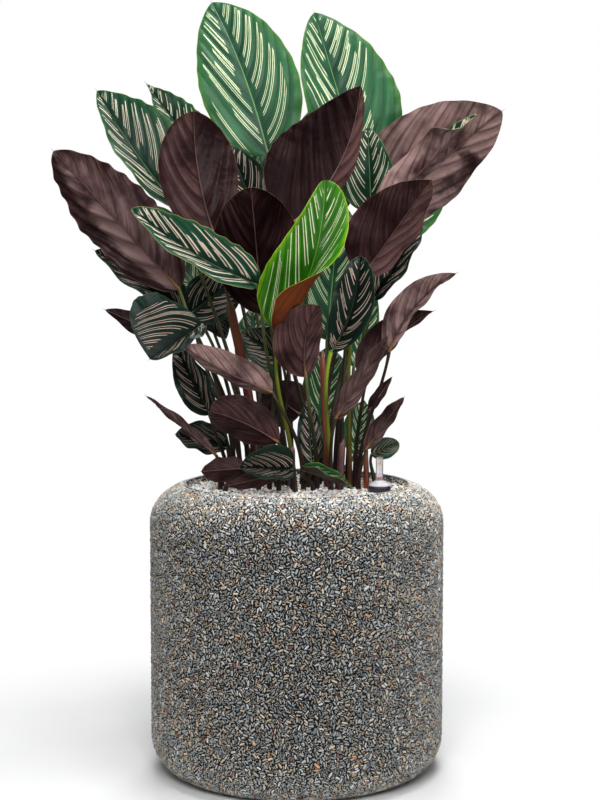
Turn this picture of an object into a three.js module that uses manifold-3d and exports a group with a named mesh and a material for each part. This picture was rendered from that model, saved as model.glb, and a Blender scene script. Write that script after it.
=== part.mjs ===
// Potted calathea: a pinstripe prayer plant in a barrel planter clad with stone chips.
// Units are millimetres and +Z is up. The origin is the centre of the planter's underside,
// and the plant's front, the side it is arranged to be seen from, faces -Y.

import * as THREE from 'three';
import { mergeVertices } from 'three/addons/utils/BufferGeometryUtils.js';
import Module from 'manifold-3d';

const wasm = await Module();
wasm.setup();

// ---------------------------------------------------------------- driving dimensions

// Planter: an upright barrel with a rounded shoulder, cut off at the mouth, and a rounded foot.
const POT_RADIUS = 215;
const POT_HEIGHT = 423;
const SHOULDER_WIDTH = 68.5;
const SHOULDER_HEIGHT = 57;
const FOOT_WIDTH = 46.7;
const FOOT_HEIGHT = 53.4;
const MOUTH_RADIUS = 163;
const POT_WALL = 12;
const POT_FLOOR = 14;
const LIP_DEPTH = 32;
const LIP_SLOPE = 40;
const POT_SIDES = 44;
const CURVE_STEPS = 5;

// Liner: the plain plastic insert that holds the granulate and the water.
const LINER_TOP_RADIUS = 160;
const LINER_BOTTOM_RADIUS = 148;
const LINER_WALL = 3;
const LINER_TOP = 402;

// Granulate: fills the liner and covers its rim.
const SURFACE_Z = 409;
const SURFACE_RELIEF = 1.6;
const SURFACE_RINGS = 7;
const SURFACE_SIDES = 32;
const SURFACE_CLEAR = 1.2;
const ROOT_DEPTH = 22;
const STEM_CLEAR = 3;

// Watering gauge: a guide pipe with a dark ring, a clear sight tube and a float on a rod.
const GAUGE = {
  x: 120, y: -30, sides: 16,
  ringRadius: 16.5, ringHeight: 9, pipeRadius: 8, pipeDepth: 90, bore: 3.4,
  coneRadius: 15.5, coneHeight: 8, tubeRadius: 5.4, tubeWall: 1.2, tubeHeight: 41,
  rodRadius: 1.6, rodLength: 70, floatRadius: 2.8, floatHeight: 4.5,
};

// Face-to-face pieces keep this much air between them.
const GAP = 0.3;

// Leaves are set out on the upright plane through the planter's axis, as seen from EYE, and
// then moved along the line of sight by their own depth (+ is away from the front).
const EYE = new THREE.Vector3(0, -2361, 730);
const BLADE_THICKNESS = 1.0;
const RIB_HEIGHT = 1.8;
const STEM_SIDES = 5;
const STEM_START = -0.5;
const LONG_STEM = 180;
const SHORT_STEM = 80;
const SHEATH_STEP = 0.012;
const SHOOT_SIDES = 6;
const SHOOT_TIP = 0.55;
const STEM_RADIUS = 4.0;
const NECK_RADIUS = 2.1;
const LONG_BLADE = 105;

// ---------------------------------------------------------------- colours

const COLOUR = {
  stoneChips: 0x77746f,
  liner: 0x2b2b2c,
  granulate: 0xc9bdb0,
  gaugeDark: 0x3f3a44,
  gaugeClear: 0xdfe6e6,
  gaugeFloat: 0xc2412a,
  upper: 0x2f5a3c,
  lime: 0x7fae1e,
  under: 0x45292c,
  shoot: 0x7a3b2c,
};

// ---------------------------------------------------------------- leaves

// Which face of a leaf is turned to the front.
const UPPER = 1;
const UNDER = -1;

// Each leaf: its face to the front, where its stem leaves the granulate (root x, y), the base
// and the tip of its blade (x, z, depth), and the widths of its halves. Left and right are as
// seen from the front with the tip up. fold is how far each half is folded up out of the
// blade's plane, in degrees, and foldTip the same at the tip where it differs. sway and bow bend
// the midrib to the left and towards the upper face, as a share of the length, and cup curls
// the halves, in degrees. round holds the outline's exponents at the base and at the tip. wave
// is the margin's amplitude, waves its number and phase its start.
const LEAF_DEFAULTS = {
  fold: [20, 20], sway: 0, bow: 0.05, cup: -14, round: [0.55, 0.85],
  wave: 3.5, waves: 2.6, phase: 0, stem: STEM_RADIUS, neck: NECK_RADIUS, lean: [0, 0],
};

const LEAVES = {
  // crown
  top_left: { face: UPPER, root: [-8, 68], base: [-41, 897, 58], tip: [-122, 1114, 122],
    width: [71, 77], fold: [10, 12], sway: -0.03, round: [0.5, 0.72], wave: 3 },
  top_right: { face: UPPER, root: [34, 58], base: [89, 888, 88], tip: [25, 1100, 152],
    width: [60, 88], fold: [38, 6], round: [0.38, 0.76], wave: 3, phase: 1 },
  left_high: { face: UPPER, root: [-72, 32], base: [-172, 821, 18], tip: [-288, 989, 84],
    width: [32, 70], fold: [48, 18], sway: 0.02, round: [0.6, 0.86], phase: 2 },
  left_behind: { face: UPPER, root: [-50, 48], base: [-133, 883, 52], tip: [-217, 1000, 112],
    width: [26, 42], fold: [58, 26], round: [0.6, 1.2] },
  left_dark: { face: UNDER, root: [-60, 8], base: [-116, 775, -28], tip: [-148, 960, -44],
    width: [58, 58], fold: [18, 20], sway: 0.05, round: [0.7, 0.62], wave: 2, sheath: [6.8, 0.76] },
  left_big: { face: UNDER, root: [-82, 12], base: [-171, 704, -42], tip: [-351, 903, -122],
    width: [59, 60], fold: [44, 22], round: [0.55, 0.72], wave: 4, waves: 3 },
  centre_big: { face: UNDER, root: [24, 38], base: [-16, 792, -18], tip: [92, 996, 4],
    width: [99, 36], fold: [6, 58], sway: -0.11, round: [0.42, 0.7], wave: 2 },
  centre_dark: { face: UNDER, root: [-14, 26], base: [-50, 668, -50], tip: [-66, 851, -86],
    width: [64, 64], fold: [22, 18], round: [0.6, 0.62], wave: 2 },
  lime: { face: UPPER, root: [-4, 6], base: [-25, 640, -74], tip: [41, 861, -120],
    width: [64, 44], fold: [6, 140], foldTip: [14, 16], sway: -0.075, cup: -12,
    round: [0.5, 0.42], wave: 2 },
  centre_gap: { face: UPPER, root: [-20, 44], base: [-50, 792, 22], tip: [-98, 912, 28],
    width: [42, 42], fold: [20, 30] },
  right_inner: { face: UPPER, root: [44, 40], base: [108, 815, 48], tip: [103, 938, 56],
    width: [44, 38], fold: [14, 34], phase: 1 },
  right_big: { face: UNDER, root: [60, 56], base: [120, 800, 66], tip: [296, 960, 34],
    width: [94, 70], fold: [6, 50], round: [0.46, 0.7], wave: 4, phase: 2, sway: 0.02 },
  right_folded: { face: UNDER, root: [66, 24], base: [109, 801, -8], tip: [260, 956, -56],
    width: [42, 26], fold: [42, 72], round: [0.6, 0.9] },
  right_front: { face: UNDER, root: [78, 2], base: [95, 722, -66], tip: [195, 862, -130],
    width: [62, 44], fold: [16, 54], round: [0.5, 0.85], wave: 4, phase: 1 },
  right_striped: { face: UPPER, root: [76, 46], base: [112, 688, 24], tip: [184, 800, 56],
    width: [42, 25], fold: [34, 60], phase: 3 },

  // left side
  left_striped: { face: UPPER, root: [-40, -2], base: [-59, 711, -78], tip: [-239, 820, -116],
    width: [30, 46], fold: [64, 34], sway: 0.04, round: [0.4, 0.62], wave: 3 },
  left_curled: { face: UPPER, root: [-92, 32], base: [-161, 671, 34], tip: [-293, 760, 56],
    width: [26, 48], fold: [58, 40], phase: 1 },
  left_small_dark: { face: UNDER, root: [-98, 48], base: [-162, 622, 50], tip: [-279, 674, 70],
    width: [21, 28], fold: [40, 40] },
  left_round: { face: UPPER, root: [-82, -12], base: [-137, 652, -62], tip: [-214, 602, -136],
    width: [32, 82], fold: [72, 4], round: [0.58, 0.36], wave: 3 },
  left_low_striped: { face: UPPER, root: [-100, 14], base: [-127, 521, -6], tip: [-177, 625, 2],
    width: [29, 34], fold: [22, 58], phase: 2 },
  left_front_dark: { face: UNDER, root: [10, -10], base: [-36, 554, -84], tip: [-162, 619, -146],
    width: [20, 34], fold: [66, 40], sway: 0.03, round: [0.42, 0.6], wave: 2 },
  low_front_dark: { face: UNDER, root: [-26, -22], base: [-27, 480, -62], tip: [-127, 526, -122],
    width: [34, 41], fold: [50, 36], sway: -0.04, round: [0.45, 0.6], wave: 2 },
  low_left_narrow: { face: UNDER, root: [-112, -6], base: [-118, 461, -14], tip: [-220, 548, -40],
    width: [6, 16], fold: [64, 60], wave: 2 },
  low_left_striped: { face: UPPER, root: [-112, 26], base: [-103, 472, 26], tip: [-178, 492, 40],
    width: [25, 36], fold: [58, 40] },
  low_left_dark: { face: UNDER, root: [-104, -22], base: [-71, 442, -30], tip: [-140, 437, -58],
    width: [24, 24], fold: [45, 45] },
  low_front_striped: { face: UPPER, root: [-2, -32], base: [-7, 440, -38], tip: [-83, 443, -72],
    width: [30, 42], fold: [66, 42], round: [0.5, 0.6], wave: 2 },
  low_front_tip: { face: UNDER, root: [-56, -18], base: [-32, 431, -50], tip: [-102, 416, -70],
    width: [16, 16], fold: [50, 50], wave: 1 },
  low_right_turned: { face: UPPER, root: [24, -16], base: [8, 440, -40], tip: [83, 412, -62],
    width: [22, 36], fold: [46, 110], wave: 2 },
  mid_left_striped: { face: UPPER, root: [-30, 26], base: [-24, 603, 26], tip: [-81, 642, 16],
    width: [35, 35], fold: [40, 30] },
  behind_left_a: { face: UPPER, root: [-64, 58], base: [-156, 668, 78], tip: [-78, 728, 92],
    width: [42, 42], fold: [30, 30] },
  behind_left_b: { face: UPPER, root: [-82, 54], base: [-132, 688, 104], tip: [-103, 632, 96],
    width: [26, 26], fold: [30, 36] },

  // right side
  front_dark: { face: UNDER, root: [30, 2], base: [14, 576, -100], tip: [33, 680, -146],
    width: [46, 28], fold: [14, 48], sway: 0.09, round: [0.52, 0.72], wave: 2 },
  front_striped: { face: UPPER, root: [50, 4], base: [50, 613, -60], tip: [92, 752, -112],
    width: [32, 31], fold: [30, 30], sway: -0.07, round: [0.7, 0.55], wave: 3, stem: 4.4, neck: 2.6 },
  right_low_dark: { face: UNDER, root: [90, 12], base: [135, 613, -24], tip: [232, 727, -76],
    width: [34, 15], fold: [28, 72], sway: 0.085, round: [0.55, 0.95], wave: 3 },
  right_low_behind: { face: UNDER, root: [86, 21], base: [101, 569, 6], tip: [199, 672, -6],
    width: [38, 13], fold: [14, 70], sway: 0.085, round: [0.55, 0.95], wave: 3, phase: 2 },
  right_narrow: { face: UNDER, root: [50, -12], base: [57, 515, -60], tip: [133, 636, -108],
    width: [24, 22], fold: [58, 56], wave: 2 },
  low_right_dark: { face: UNDER, root: [90, -6], base: [102, 470, -36], tip: [157, 546, -80],
    width: [22, 13], fold: [54, 54], wave: 2 },
  low_right_narrow: { face: UNDER, root: [104, 24], base: [107, 527, 26], tip: [139, 576, 38],
    width: [14, 9], fold: [50, 50], wave: 1 },
  low_right_small: { face: UPPER, root: [116, 32], base: [110, 460, 36], tip: [147, 484, 20],
    width: [24, 24], fold: [30, 30], wave: 1 },
  centre_shaded: { face: UNDER, root: [8, 50], base: [5, 521, 53], tip: [-50, 560, 53],
    width: [38, 38], fold: [5, 5] },
  centre_low_striped: { face: UPPER, root: [16, 18], base: [22, 446, 14], tip: [16, 545, 22],
    width: [20, 20], fold: [20, 20] },

  // back
  back_left: { face: UPPER, root: [-36, 72], base: [-70, 770, 96], tip: [-104, 972, 204],
    width: [56, 56], fold: [22, 22] },
  back_centre: { face: UPPER, root: [14, 78], base: [20, 790, 118], tip: [60, 990, 228],
    width: [62, 62], fold: [20, 24], phase: 1 },
  back_right: { face: UPPER, root: [58, 74], base: [116, 770, 116], tip: [206, 900, 232],
    width: [56, 56], fold: [24, 20], phase: 2 },
  back_far_left: { face: UPPER, root: [-72, 78], base: [-140, 700, 122], tip: [-236, 826, 216],
    width: [52, 52], fold: [24, 20] },
  back_middle: { face: UPPER, root: [38, 86], base: [44, 630, 140], tip: [62, 830, 246],
    width: [58, 58], fold: [20, 20], phase: 3 },
  back_right_low: { face: UPPER, root: [78, 68], base: [83, 590, 98], tip: [111, 708, 150],
    width: [20, 24], fold: [20, 24] },
  back_left_low: { face: UPPER, root: [-56, 96], base: [-52, 556, 130], tip: [-66, 678, 222],
    width: [36, 36], fold: [24, 20], phase: 2 },
  back_low: { face: UPPER, root: [20, 104], base: [34, 500, 142], tip: [50, 622, 240],
    width: [38, 38], fold: [20, 20] },
  back_low_right: { face: UPPER, root: [62, 94], base: [84, 462, 104], tip: [98, 542, 146],
    width: [26, 26], fold: [24, 20], phase: 1 },
};

// Rolled young leaves and cut sheaths: root (x, y), top (x, z, depth), radius at foot and top.
const SHOOTS = {
  shoot_red: { root: [44, 22], top: [37, 613, 4], radius: [3.4, 4.6] },
  sheath_front: { root: [-6, -12], top: [-6, 474, -14], radius: [5.0, 4.0] },
  sheath_middle: { root: [62, -4], top: [68, 484, -2], radius: [7.0, 4.6] },
  sheath_right: { root: [102, 3], top: [101, 466, 2], radius: [4.4, 3.4] },
};

// ---------------------------------------------------------------- helpers

const radians = (degrees) => degrees * Math.PI / 180;

// A point of the setting-out plane, moved along the line of sight to its depth.
function placed([x, z, depth]) {
  const onPlane = new THREE.Vector3(x, 0, z);
  const reach = (depth - EYE.y) / -EYE.y;
  return onPlane.sub(EYE).multiplyScalar(reach).add(EYE);
}

function toSolid(geometry) {
  const plain = geometry.clone();
  plain.deleteAttribute('normal');
  plain.deleteAttribute('uv');
  const merged = mergeVertices(plain, 1e-4);
  const mesh = new wasm.Mesh({
    numProp: 3,
    vertProperties: Float32Array.from(merged.attributes.position.array),
    triVerts: Uint32Array.from(merged.index.array),
  });
  return new wasm.Manifold(mesh);
}

function toGeometry(solid) {
  const mesh = solid.getMesh();
  const geometry = new THREE.BufferGeometry();
  geometry.setAttribute('position', new THREE.BufferAttribute(mesh.vertProperties, 3));
  geometry.setIndex(new THREE.BufferAttribute(mesh.triVerts, 1));
  geometry.computeVertexNormals();
  return geometry;
}

// A body of revolution about the Z axis through (x, y), from a closed or axis-to-axis profile.
function turned(profile, sides, x = 0, y = 0) {
  const points = profile.map(([radius, z]) => new THREE.Vector2(radius, z));
  return new THREE.LatheGeometry(points, sides).rotateX(Math.PI / 2).translate(x, y, 0);
}

function part(name, geometry, colour, roughness = 0.6) {
  const material = new THREE.MeshStandardMaterial({ color: colour, roughness, metalness: 0 });
  const mesh = new THREE.Mesh(geometry, material);
  mesh.name = name;
  return mesh;
}

// Points of an elliptic arc about (cx, cz), angles in degrees from the horizontal.
function arc(cx, cz, wide, high, from, to, steps) {
  const points = [];
  for (let i = 0; i <= steps; i += 1) {
    const angle = radians(from + (to - from) * i / steps);
    points.push([cx + wide * Math.cos(angle), cz + high * Math.sin(angle)]);
  }
  return points;
}

// ---------------------------------------------------------------- planter, liner, granulate

function planter() {
  const shoulderX = POT_RADIUS - SHOULDER_WIDTH;
  const shoulderZ = POT_HEIGHT - SHOULDER_HEIGHT;
  const footX = POT_RADIUS - FOOT_WIDTH;
  const mouthAngle = THREE.MathUtils.radToDeg(Math.acos((MOUTH_RADIUS - shoulderX) / SHOULDER_WIDTH));
  const mouthZ = shoulderZ + SHOULDER_HEIGHT * Math.sin(radians(mouthAngle));
  const inner = POT_RADIUS - POT_WALL;
  const profile = [
    [0, 0],
    ...arc(footX, FOOT_HEIGHT, FOOT_WIDTH, FOOT_HEIGHT, -90, 0, CURVE_STEPS),
    ...arc(shoulderX, shoulderZ, SHOULDER_WIDTH, SHOULDER_HEIGHT, 0, mouthAngle, CURVE_STEPS),
    [MOUTH_RADIUS, mouthZ - LIP_DEPTH],
    [inner, mouthZ - LIP_DEPTH - LIP_SLOPE],
    [inner, FOOT_HEIGHT],
    [footX, POT_FLOOR],
    [0, POT_FLOOR],
  ];
  return turned(profile, POT_SIDES);
}

function liner() {
  const floor = POT_FLOOR + GAP;
  return turned([
    [0, floor],
    [LINER_BOTTOM_RADIUS, floor],
    [LINER_TOP_RADIUS, LINER_TOP],
    [LINER_TOP_RADIUS - LINER_WALL, LINER_TOP],
    [LINER_BOTTOM_RADIUS - LINER_WALL, floor + LINER_WALL],
    [0, floor + LINER_WALL],
  ], POT_SIDES);
}

// The granulate's top is raised and lowered a little, ring by ring, as loose grains lie.
function surfaceHeight(ring, side) {
  return SURFACE_Z + SURFACE_RELIEF * Math.sin(2.4 * ring + 1.9 * side) * Math.cos(1.3 * side - ring);
}

function granulateBlock() {
  const bottom = POT_FLOOR + LINER_WALL + 2 * GAP;
  const outer = MOUTH_RADIUS - GAP - 1;
  const profile = [
    [0, bottom],
    [LINER_BOTTOM_RADIUS - LINER_WALL - SURFACE_CLEAR, bottom],
    [LINER_TOP_RADIUS - LINER_WALL - SURFACE_CLEAR, LINER_TOP + GAP],
    [outer, LINER_TOP + GAP],
  ];
  for (let ring = SURFACE_RINGS; ring >= 0; ring -= 1) {
    profile.push([outer * ring / SURFACE_RINGS, SURFACE_Z]);
  }
  const geometry = turned(profile, SURFACE_SIDES);
  const position = geometry.attributes.position;
  for (let i = 0; i < position.count; i += 1) {
    const x = position.getX(i);
    const y = position.getY(i);
    const ring = Math.round(Math.hypot(x, y) * SURFACE_RINGS / outer);
    const turn = Math.atan2(y, x) / (2 * Math.PI);
    const side = (Math.round(turn * SURFACE_SIDES) + SURFACE_SIDES) % SURFACE_SIDES;
    if (position.getZ(i) === SURFACE_Z && ring > 0 && ring < SURFACE_RINGS) {
      position.setZ(i, surfaceHeight(ring, side));
    }
  }
  return toSolid(geometry);
}

function hole(x, y, radius, depth, sides = 6) {
  const inscribed = radius + GAP + 0.3;
  const outer = inscribed / Math.cos(Math.PI / sides);
  const top = SURFACE_Z + 20;
  return toSolid(turned([[0, SURFACE_Z - depth], [outer, SURFACE_Z - depth], [outer, top], [0, top]],
    sides, x, y));
}

function granulate() {
  let solid = granulateBlock();
  for (const leaf of Object.values(LEAVES)) {
    const { root, stem, sheath } = { ...LEAF_DEFAULTS, ...leaf };
    const radius = sheath ? sheath[0] : stem;
    solid = solid.subtract(hole(root[0], root[1], radius, ROOT_DEPTH + GAP));
  }
  for (const { root, radius } of Object.values(SHOOTS)) {
    solid = solid.subtract(hole(root[0], root[1], radius[0], ROOT_DEPTH + GAP));
  }
  return toGeometry(solid.subtract(hole(GAUGE.x, GAUGE.y, GAUGE.pipeRadius, GAUGE.pipeDepth + GAP, 12)));
}

// ---------------------------------------------------------------- watering gauge

function gaugeParts() {
  const g = GAUGE;
  const ringBottom = SURFACE_Z + SURFACE_RELIEF + GAP;
  const ringTop = ringBottom + g.ringHeight;
  const coneBottom = ringTop + GAP;
  const tubeTop = coneBottom + g.tubeHeight;
  const bore = g.tubeRadius - g.tubeWall;
  const at = (profile) => turned([...profile, profile[0]], g.sides, g.x, g.y);
  const base = at([
    [g.bore, SURFACE_Z - g.pipeDepth],
    [g.pipeRadius, SURFACE_Z - g.pipeDepth],
    [g.pipeRadius, ringBottom],
    [g.ringRadius - 1, ringBottom],
    [g.ringRadius, ringBottom + 2],
    [g.ringRadius, ringTop - 1],
    [g.ringRadius - 1, ringTop],
    [g.bore, ringTop],
  ]);
  const tube = turned([
    [bore, coneBottom],
    [g.coneRadius, coneBottom],
    [g.coneRadius - 1, coneBottom + 2],
    [g.tubeRadius + 1, coneBottom + g.coneHeight],
    [g.tubeRadius, coneBottom + g.coneHeight + 1.5],
    [g.tubeRadius, tubeTop - 1],
    [g.tubeRadius - 1, tubeTop],
    [0, tubeTop],
    [0, tubeTop - g.tubeWall],
    [bore, tubeTop - g.tubeWall],
    [bore, coneBottom],
  ], g.sides, g.x, g.y);
  const floatBottom = coneBottom + g.coneHeight;
  const float = turned([
    [0, floatBottom - g.rodLength],
    [g.rodRadius, floatBottom - g.rodLength],
    [g.rodRadius, floatBottom],
    [g.floatRadius, floatBottom],
    [g.floatRadius, floatBottom + g.floatHeight],
    [0, floatBottom + g.floatHeight],
  ], 10, g.x, g.y);
  return { base, tube, float };
}

// ---------------------------------------------------------------- leaf form

// The blade's own directions: the midrib runs from base to tip, left and upper are square to it.
function bladeForm(leaf) {
  const base = placed(leaf.base);
  const tip = placed(leaf.tip);
  const length = base.distanceTo(tip);
  const axis = tip.clone().sub(base).normalize();
  const view = EYE.clone().sub(base.clone().lerp(tip, 0.5)).normalize();
  const upper0 = view.addScaledVector(axis, -view.dot(axis)).normalize().multiplyScalar(leaf.face);
  const left0 = upper0.clone().cross(axis).multiplyScalar(leaf.face);
  const bend = upper0.clone().multiplyScalar(leaf.bow).addScaledVector(left0, leaf.sway);
  const [p, q] = leaf.round;
  const widest = p / (p + q);
  const foldTip = leaf.foldTip ?? leaf.fold;

  const outline = (t) => (t / widest) ** p * ((1 - t) / (1 - widest)) ** q;

  const frameAt = (t) => {
    const rib = base.clone().addScaledVector(axis, length * t);
    rib.addScaledVector(bend, length * 4 * t * (1 - t));
    const along = axis.clone().addScaledVector(bend, 4 * (1 - 2 * t)).normalize();
    const upper = upper0.clone().addScaledVector(along, -upper0.dot(along)).normalize();
    const left = upper.clone().cross(along).multiplyScalar(leaf.face);
    return { rib, along, upper, left };
  };

  const foldAt = (t, half) => {
    const share = t * t * (3 - 2 * t);
    return radians(leaf.fold[half] + (foldTip[half] - leaf.fold[half]) * share);
  };

  // A point of the blade's middle surface: s runs from -1 at the right margin to +1 at the left.
  const section = (t, s) => {
    const { rib, upper, left } = frameAt(t);
    const half = s >= 0 ? 0 : 1;
    const side = s >= 0 ? 1 : -1;
    const across = Math.abs(s);
    const start = foldAt(t, half);
    const curl = radians(leaf.cup) + 1e-6;
    const width = leaf.width[half] * outline(t);
    const out = width * (Math.sin(start + curl * across) - Math.sin(start)) / curl;
    const up = width * (Math.cos(start) - Math.cos(start + curl * across)) / curl;
    const angle = start + curl * across;
    const normal = left.clone().multiplyScalar(-side * Math.sin(angle));
    normal.addScaledVector(upper, Math.cos(angle));
    const ripple = Math.sin(2 * Math.PI * leaf.waves * t + leaf.phase + half * 1.7);
    const lift = leaf.wave * across ** 1.5 * ripple * Math.sqrt(4 * t * (1 - t));
    const point = rib.clone().addScaledVector(left, side * out).addScaledVector(upper, up);
    return { point: point.addScaledVector(normal, lift), normal };
  };

  return { base, length, axis, frameAt, foldAt, section };
}

// The stem stands upright in its hole, bends outwards above it and arrives at the blade on its
// midrib.
function stemCurve(leaf, form) {
  const foot = new THREE.Vector3(leaf.root[0], leaf.root[1], SURFACE_Z + STEM_CLEAR);
  const rise = foot.distanceTo(form.base);
  const arrival = form.frameAt(0).along.multiplyScalar(0.6).add(new THREE.Vector3(0, 0, 0.8)).normalize();
  const lower = foot.clone().add(new THREE.Vector3(0, 0, 0.4 * rise));
  const upper = form.base.clone().addScaledVector(arrival, -0.33 * rise);
  upper.add(new THREE.Vector3(leaf.lean[0], leaf.lean[1], 0));
  return new THREE.CubicBezierCurve3(foot, lower, upper, form.base);
}

function stemRadius(leaf, share) {
  if (leaf.sheath && share <= leaf.sheath[1]) {
    return leaf.sheath[0];
  }
  return leaf.neck + (leaf.stem - leaf.neck) * (1 - share) ** 1.5;
}

// Rings of one leaf, from the foot of its stem to the tip of its blade.
const COLUMNS = [1, 0.5, 0, -0.5, -1];

function bladeRing(form, leaf, t) {
  const top = [];
  const bottom = [];
  for (const s of COLUMNS) {
    const { point, normal } = form.section(t, s);
    const edge = Math.abs(s) === 1;
    let thickness = BLADE_THICKNESS * (edge ? 0.8 : 1);
    let rib = 0;
    if (s === 0) {
      const { upper } = form.frameAt(t);
      normal.copy(upper);
      const bent = (form.foldAt(t, 0) + form.foldAt(t, 1)) / 2;
      thickness /= Math.max(0.45, Math.cos(Math.min(bent, 1.2)));
      rib = RIB_HEIGHT * (1 - t);
    }
    top.push(point.clone().addScaledVector(normal, thickness / 2));
    bottom.push(point.clone().addScaledVector(normal, -thickness / 2 - rib));
  }
  return [...top, ...bottom.reverse()];
}

function stemShares(leaf, rise) {
  const steps = rise > LONG_STEM ? 6 : rise > SHORT_STEM ? 4 : 3;
  const shares = Array.from({ length: steps + 1 }, (_, i) => i / steps);
  if (!leaf.sheath) {
    return shares;
  }
  const end = leaf.sheath[1];
  const kept = shares.filter((share) => share === 0 || Math.abs(share - end) > 0.05);
  return [...kept, end, end + SHEATH_STEP].sort((a, b) => a - b);
}

// Worked out from the blade downwards, so that the stem's ring meets the blade's without a twist.
function stemRings(leaf, form) {
  const curve = stemCurve(leaf, form);
  const side = form.frameAt(0).left;
  const ringAt = (centre, along, radius) => {
    side.addScaledVector(along, -side.dot(along)).normalize();
    const upper = along.clone().cross(side).multiplyScalar(leaf.face);
    return Array.from({ length: STEM_SIDES }, (_, i) => {
      const angle = 2 * Math.PI * (i - STEM_START) / STEM_SIDES;
      return centre.clone().addScaledVector(side, radius * Math.cos(angle))
        .addScaledVector(upper, radius * Math.sin(angle));
    });
  };
  const rings = stemShares(leaf, curve.v0.distanceTo(curve.v3)).reverse().map((share) => (
    ringAt(curve.getPoint(share), curve.getTangent(share), stemRadius(leaf, share))
  ));
  const foot = curve.v0.clone().setZ(SURFACE_Z - ROOT_DEPTH);
  rings.push(ringAt(foot, new THREE.Vector3(0, 0, 1), stemRadius(leaf, 0)));
  return rings.reverse();
}

// ---------------------------------------------------------------- lofted meshes

class Loft {
  constructor() {
    this.positions = [];
    this.faces = [];
  }

  add(points) {
    const first = this.positions.length / 3;
    for (const point of points) {
      this.positions.push(point.x, point.y, point.z);
    }
    return points.map((_, i) => first + i);
  }

  // Joins two rings with the same number of points.
  band(lower, upper, crossed = () => false) {
    const count = lower.length;
    for (let i = 0; i < count; i += 1) {
      const j = (i + 1) % count;
      if (crossed(i)) {
        this.faces.push([lower[i], lower[j], upper[i]], [lower[j], upper[j], upper[i]]);
      } else {
        this.faces.push([lower[i], lower[j], upper[j]], [lower[i], upper[j], upper[i]]);
      }
    }
  }

  // Joins a ring to one with twice its points.
  widen(lower, upper) {
    const count = lower.length;
    for (let i = 0; i < count; i += 1) {
      const j = (i + 1) % count;
      const next = upper[(2 * i + 2) % upper.length];
      this.faces.push([lower[i], upper[2 * i + 1], upper[2 * i]]);
      this.faces.push([lower[i], lower[j], upper[2 * i + 1]]);
      this.faces.push([lower[j], next, upper[2 * i + 1]]);
    }
  }

  cap(ring, facingBack) {
    for (let i = 1; i < ring.length - 1; i += 1) {
      this.faces.push(facingBack ? [ring[0], ring[i + 1], ring[i]] : [ring[0], ring[i], ring[i + 1]]);
    }
  }

  point(ring, tip) {
    for (let i = 0; i < ring.length; i += 1) {
      this.faces.push([ring[i], ring[(i + 1) % ring.length], tip]);
    }
  }

  geometry(flipped) {
    const faces = flipped ? this.faces.map(([a, b, c]) => [a, c, b]) : this.faces;
    const geometry = new THREE.BufferGeometry();
    geometry.setAttribute('position', new THREE.Float32BufferAttribute(this.positions, 3));
    geometry.setIndex(faces.flat());
    geometry.computeVertexNormals();
    return geometry;
  }
}

// Both faces of the blade are split alike, and the two halves mirror each other.
const crossedInBlade = (i) => (i === 2 || i === 3 || i === 7 || i === 8);

function leafGeometry(settings) {
  const leaf = { ...LEAF_DEFAULTS, ...settings };
  const form = bladeForm(leaf);
  const loft = new Loft();
  const stem = stemRings(leaf, form).map((ring) => loft.add(ring));
  loft.cap(stem[0], true);
  for (let i = 1; i < stem.length; i += 1) {
    loft.band(stem[i - 1], stem[i]);
  }
  const rows = form.length > LONG_BLADE ? 9 : 6;
  const blade = [];
  for (let row = 1; row < rows; row += 1) {
    const t = (1 - Math.cos(Math.PI * row / rows)) / 2;
    blade.push(loft.add(bladeRing(form, leaf, t)));
  }
  loft.widen(stem[stem.length - 1], blade[0]);
  for (let i = 1; i < blade.length; i += 1) {
    loft.band(blade[i - 1], blade[i], crossedInBlade);
  }
  const [tip] = loft.add([form.frameAt(1).rib]);
  loft.point(blade[blade.length - 1], tip);
  return loft.geometry(leaf.face === UNDER);
}

// A rolled leaf or a cut sheath: a tapering rod, upright in its hole, with a slanting top.
function shootGeometry({ root, top, radius }) {
  const foot = new THREE.Vector3(root[0], root[1], SURFACE_Z - ROOT_DEPTH);
  const start = foot.clone().setZ(SURFACE_Z + STEM_CLEAR);
  const head = placed(top);
  const loft = new Loft();
  const ringAt = (centre, size, slant = 0) => loft.add(Array.from({ length: SHOOT_SIDES }, (_, i) => {
    const angle = 2 * Math.PI * i / SHOOT_SIDES;
    const along = size * Math.cos(angle);
    return centre.clone().add(new THREE.Vector3(along, size * Math.sin(angle), slant * along));
  }));
  const rings = [ringAt(foot, radius[0])];
  for (const share of [0, 0.3, 0.65, 0.93]) {
    const size = radius[0] + (radius[1] - radius[0]) * share;
    rings.push(ringAt(start.clone().lerp(head, share), size));
  }
  rings.push(ringAt(head, radius[1] * SHOOT_TIP, 1));
  loft.cap(rings[0], true);
  for (let i = 1; i < rings.length; i += 1) {
    loft.band(rings[i - 1], rings[i]);
  }
  loft.cap(rings[rings.length - 1], false);
  return loft.geometry(false);
}

// ---------------------------------------------------------------- assembly

const plant = new THREE.Group();
plant.add(part('pot', planter(), COLOUR.stoneChips, 0.9));
plant.add(part('liner', liner(), COLOUR.liner, 0.5));
plant.add(part('substrate', granulate(), COLOUR.granulate, 0.95));

const gauge = gaugeParts();
plant.add(part('gauge_base', gauge.base, COLOUR.gaugeDark, 0.4));
plant.add(part('gauge_tube', gauge.tube, COLOUR.gaugeClear, 0.15));
plant.add(part('gauge_float', gauge.float, COLOUR.gaugeFloat, 0.4));

for (const [name, leaf] of Object.entries(LEAVES)) {
  const colour = name === 'lime' ? COLOUR.lime : leaf.face === UPPER ? COLOUR.upper : COLOUR.under;
  plant.add(part(`leaf_${name}`, leafGeometry(leaf), colour, 0.45));
}
for (const [name, shoot] of Object.entries(SHOOTS)) {
  plant.add(part(name, shootGeometry(shoot), COLOUR.shoot, 0.6));
}

export default plant;
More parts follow.
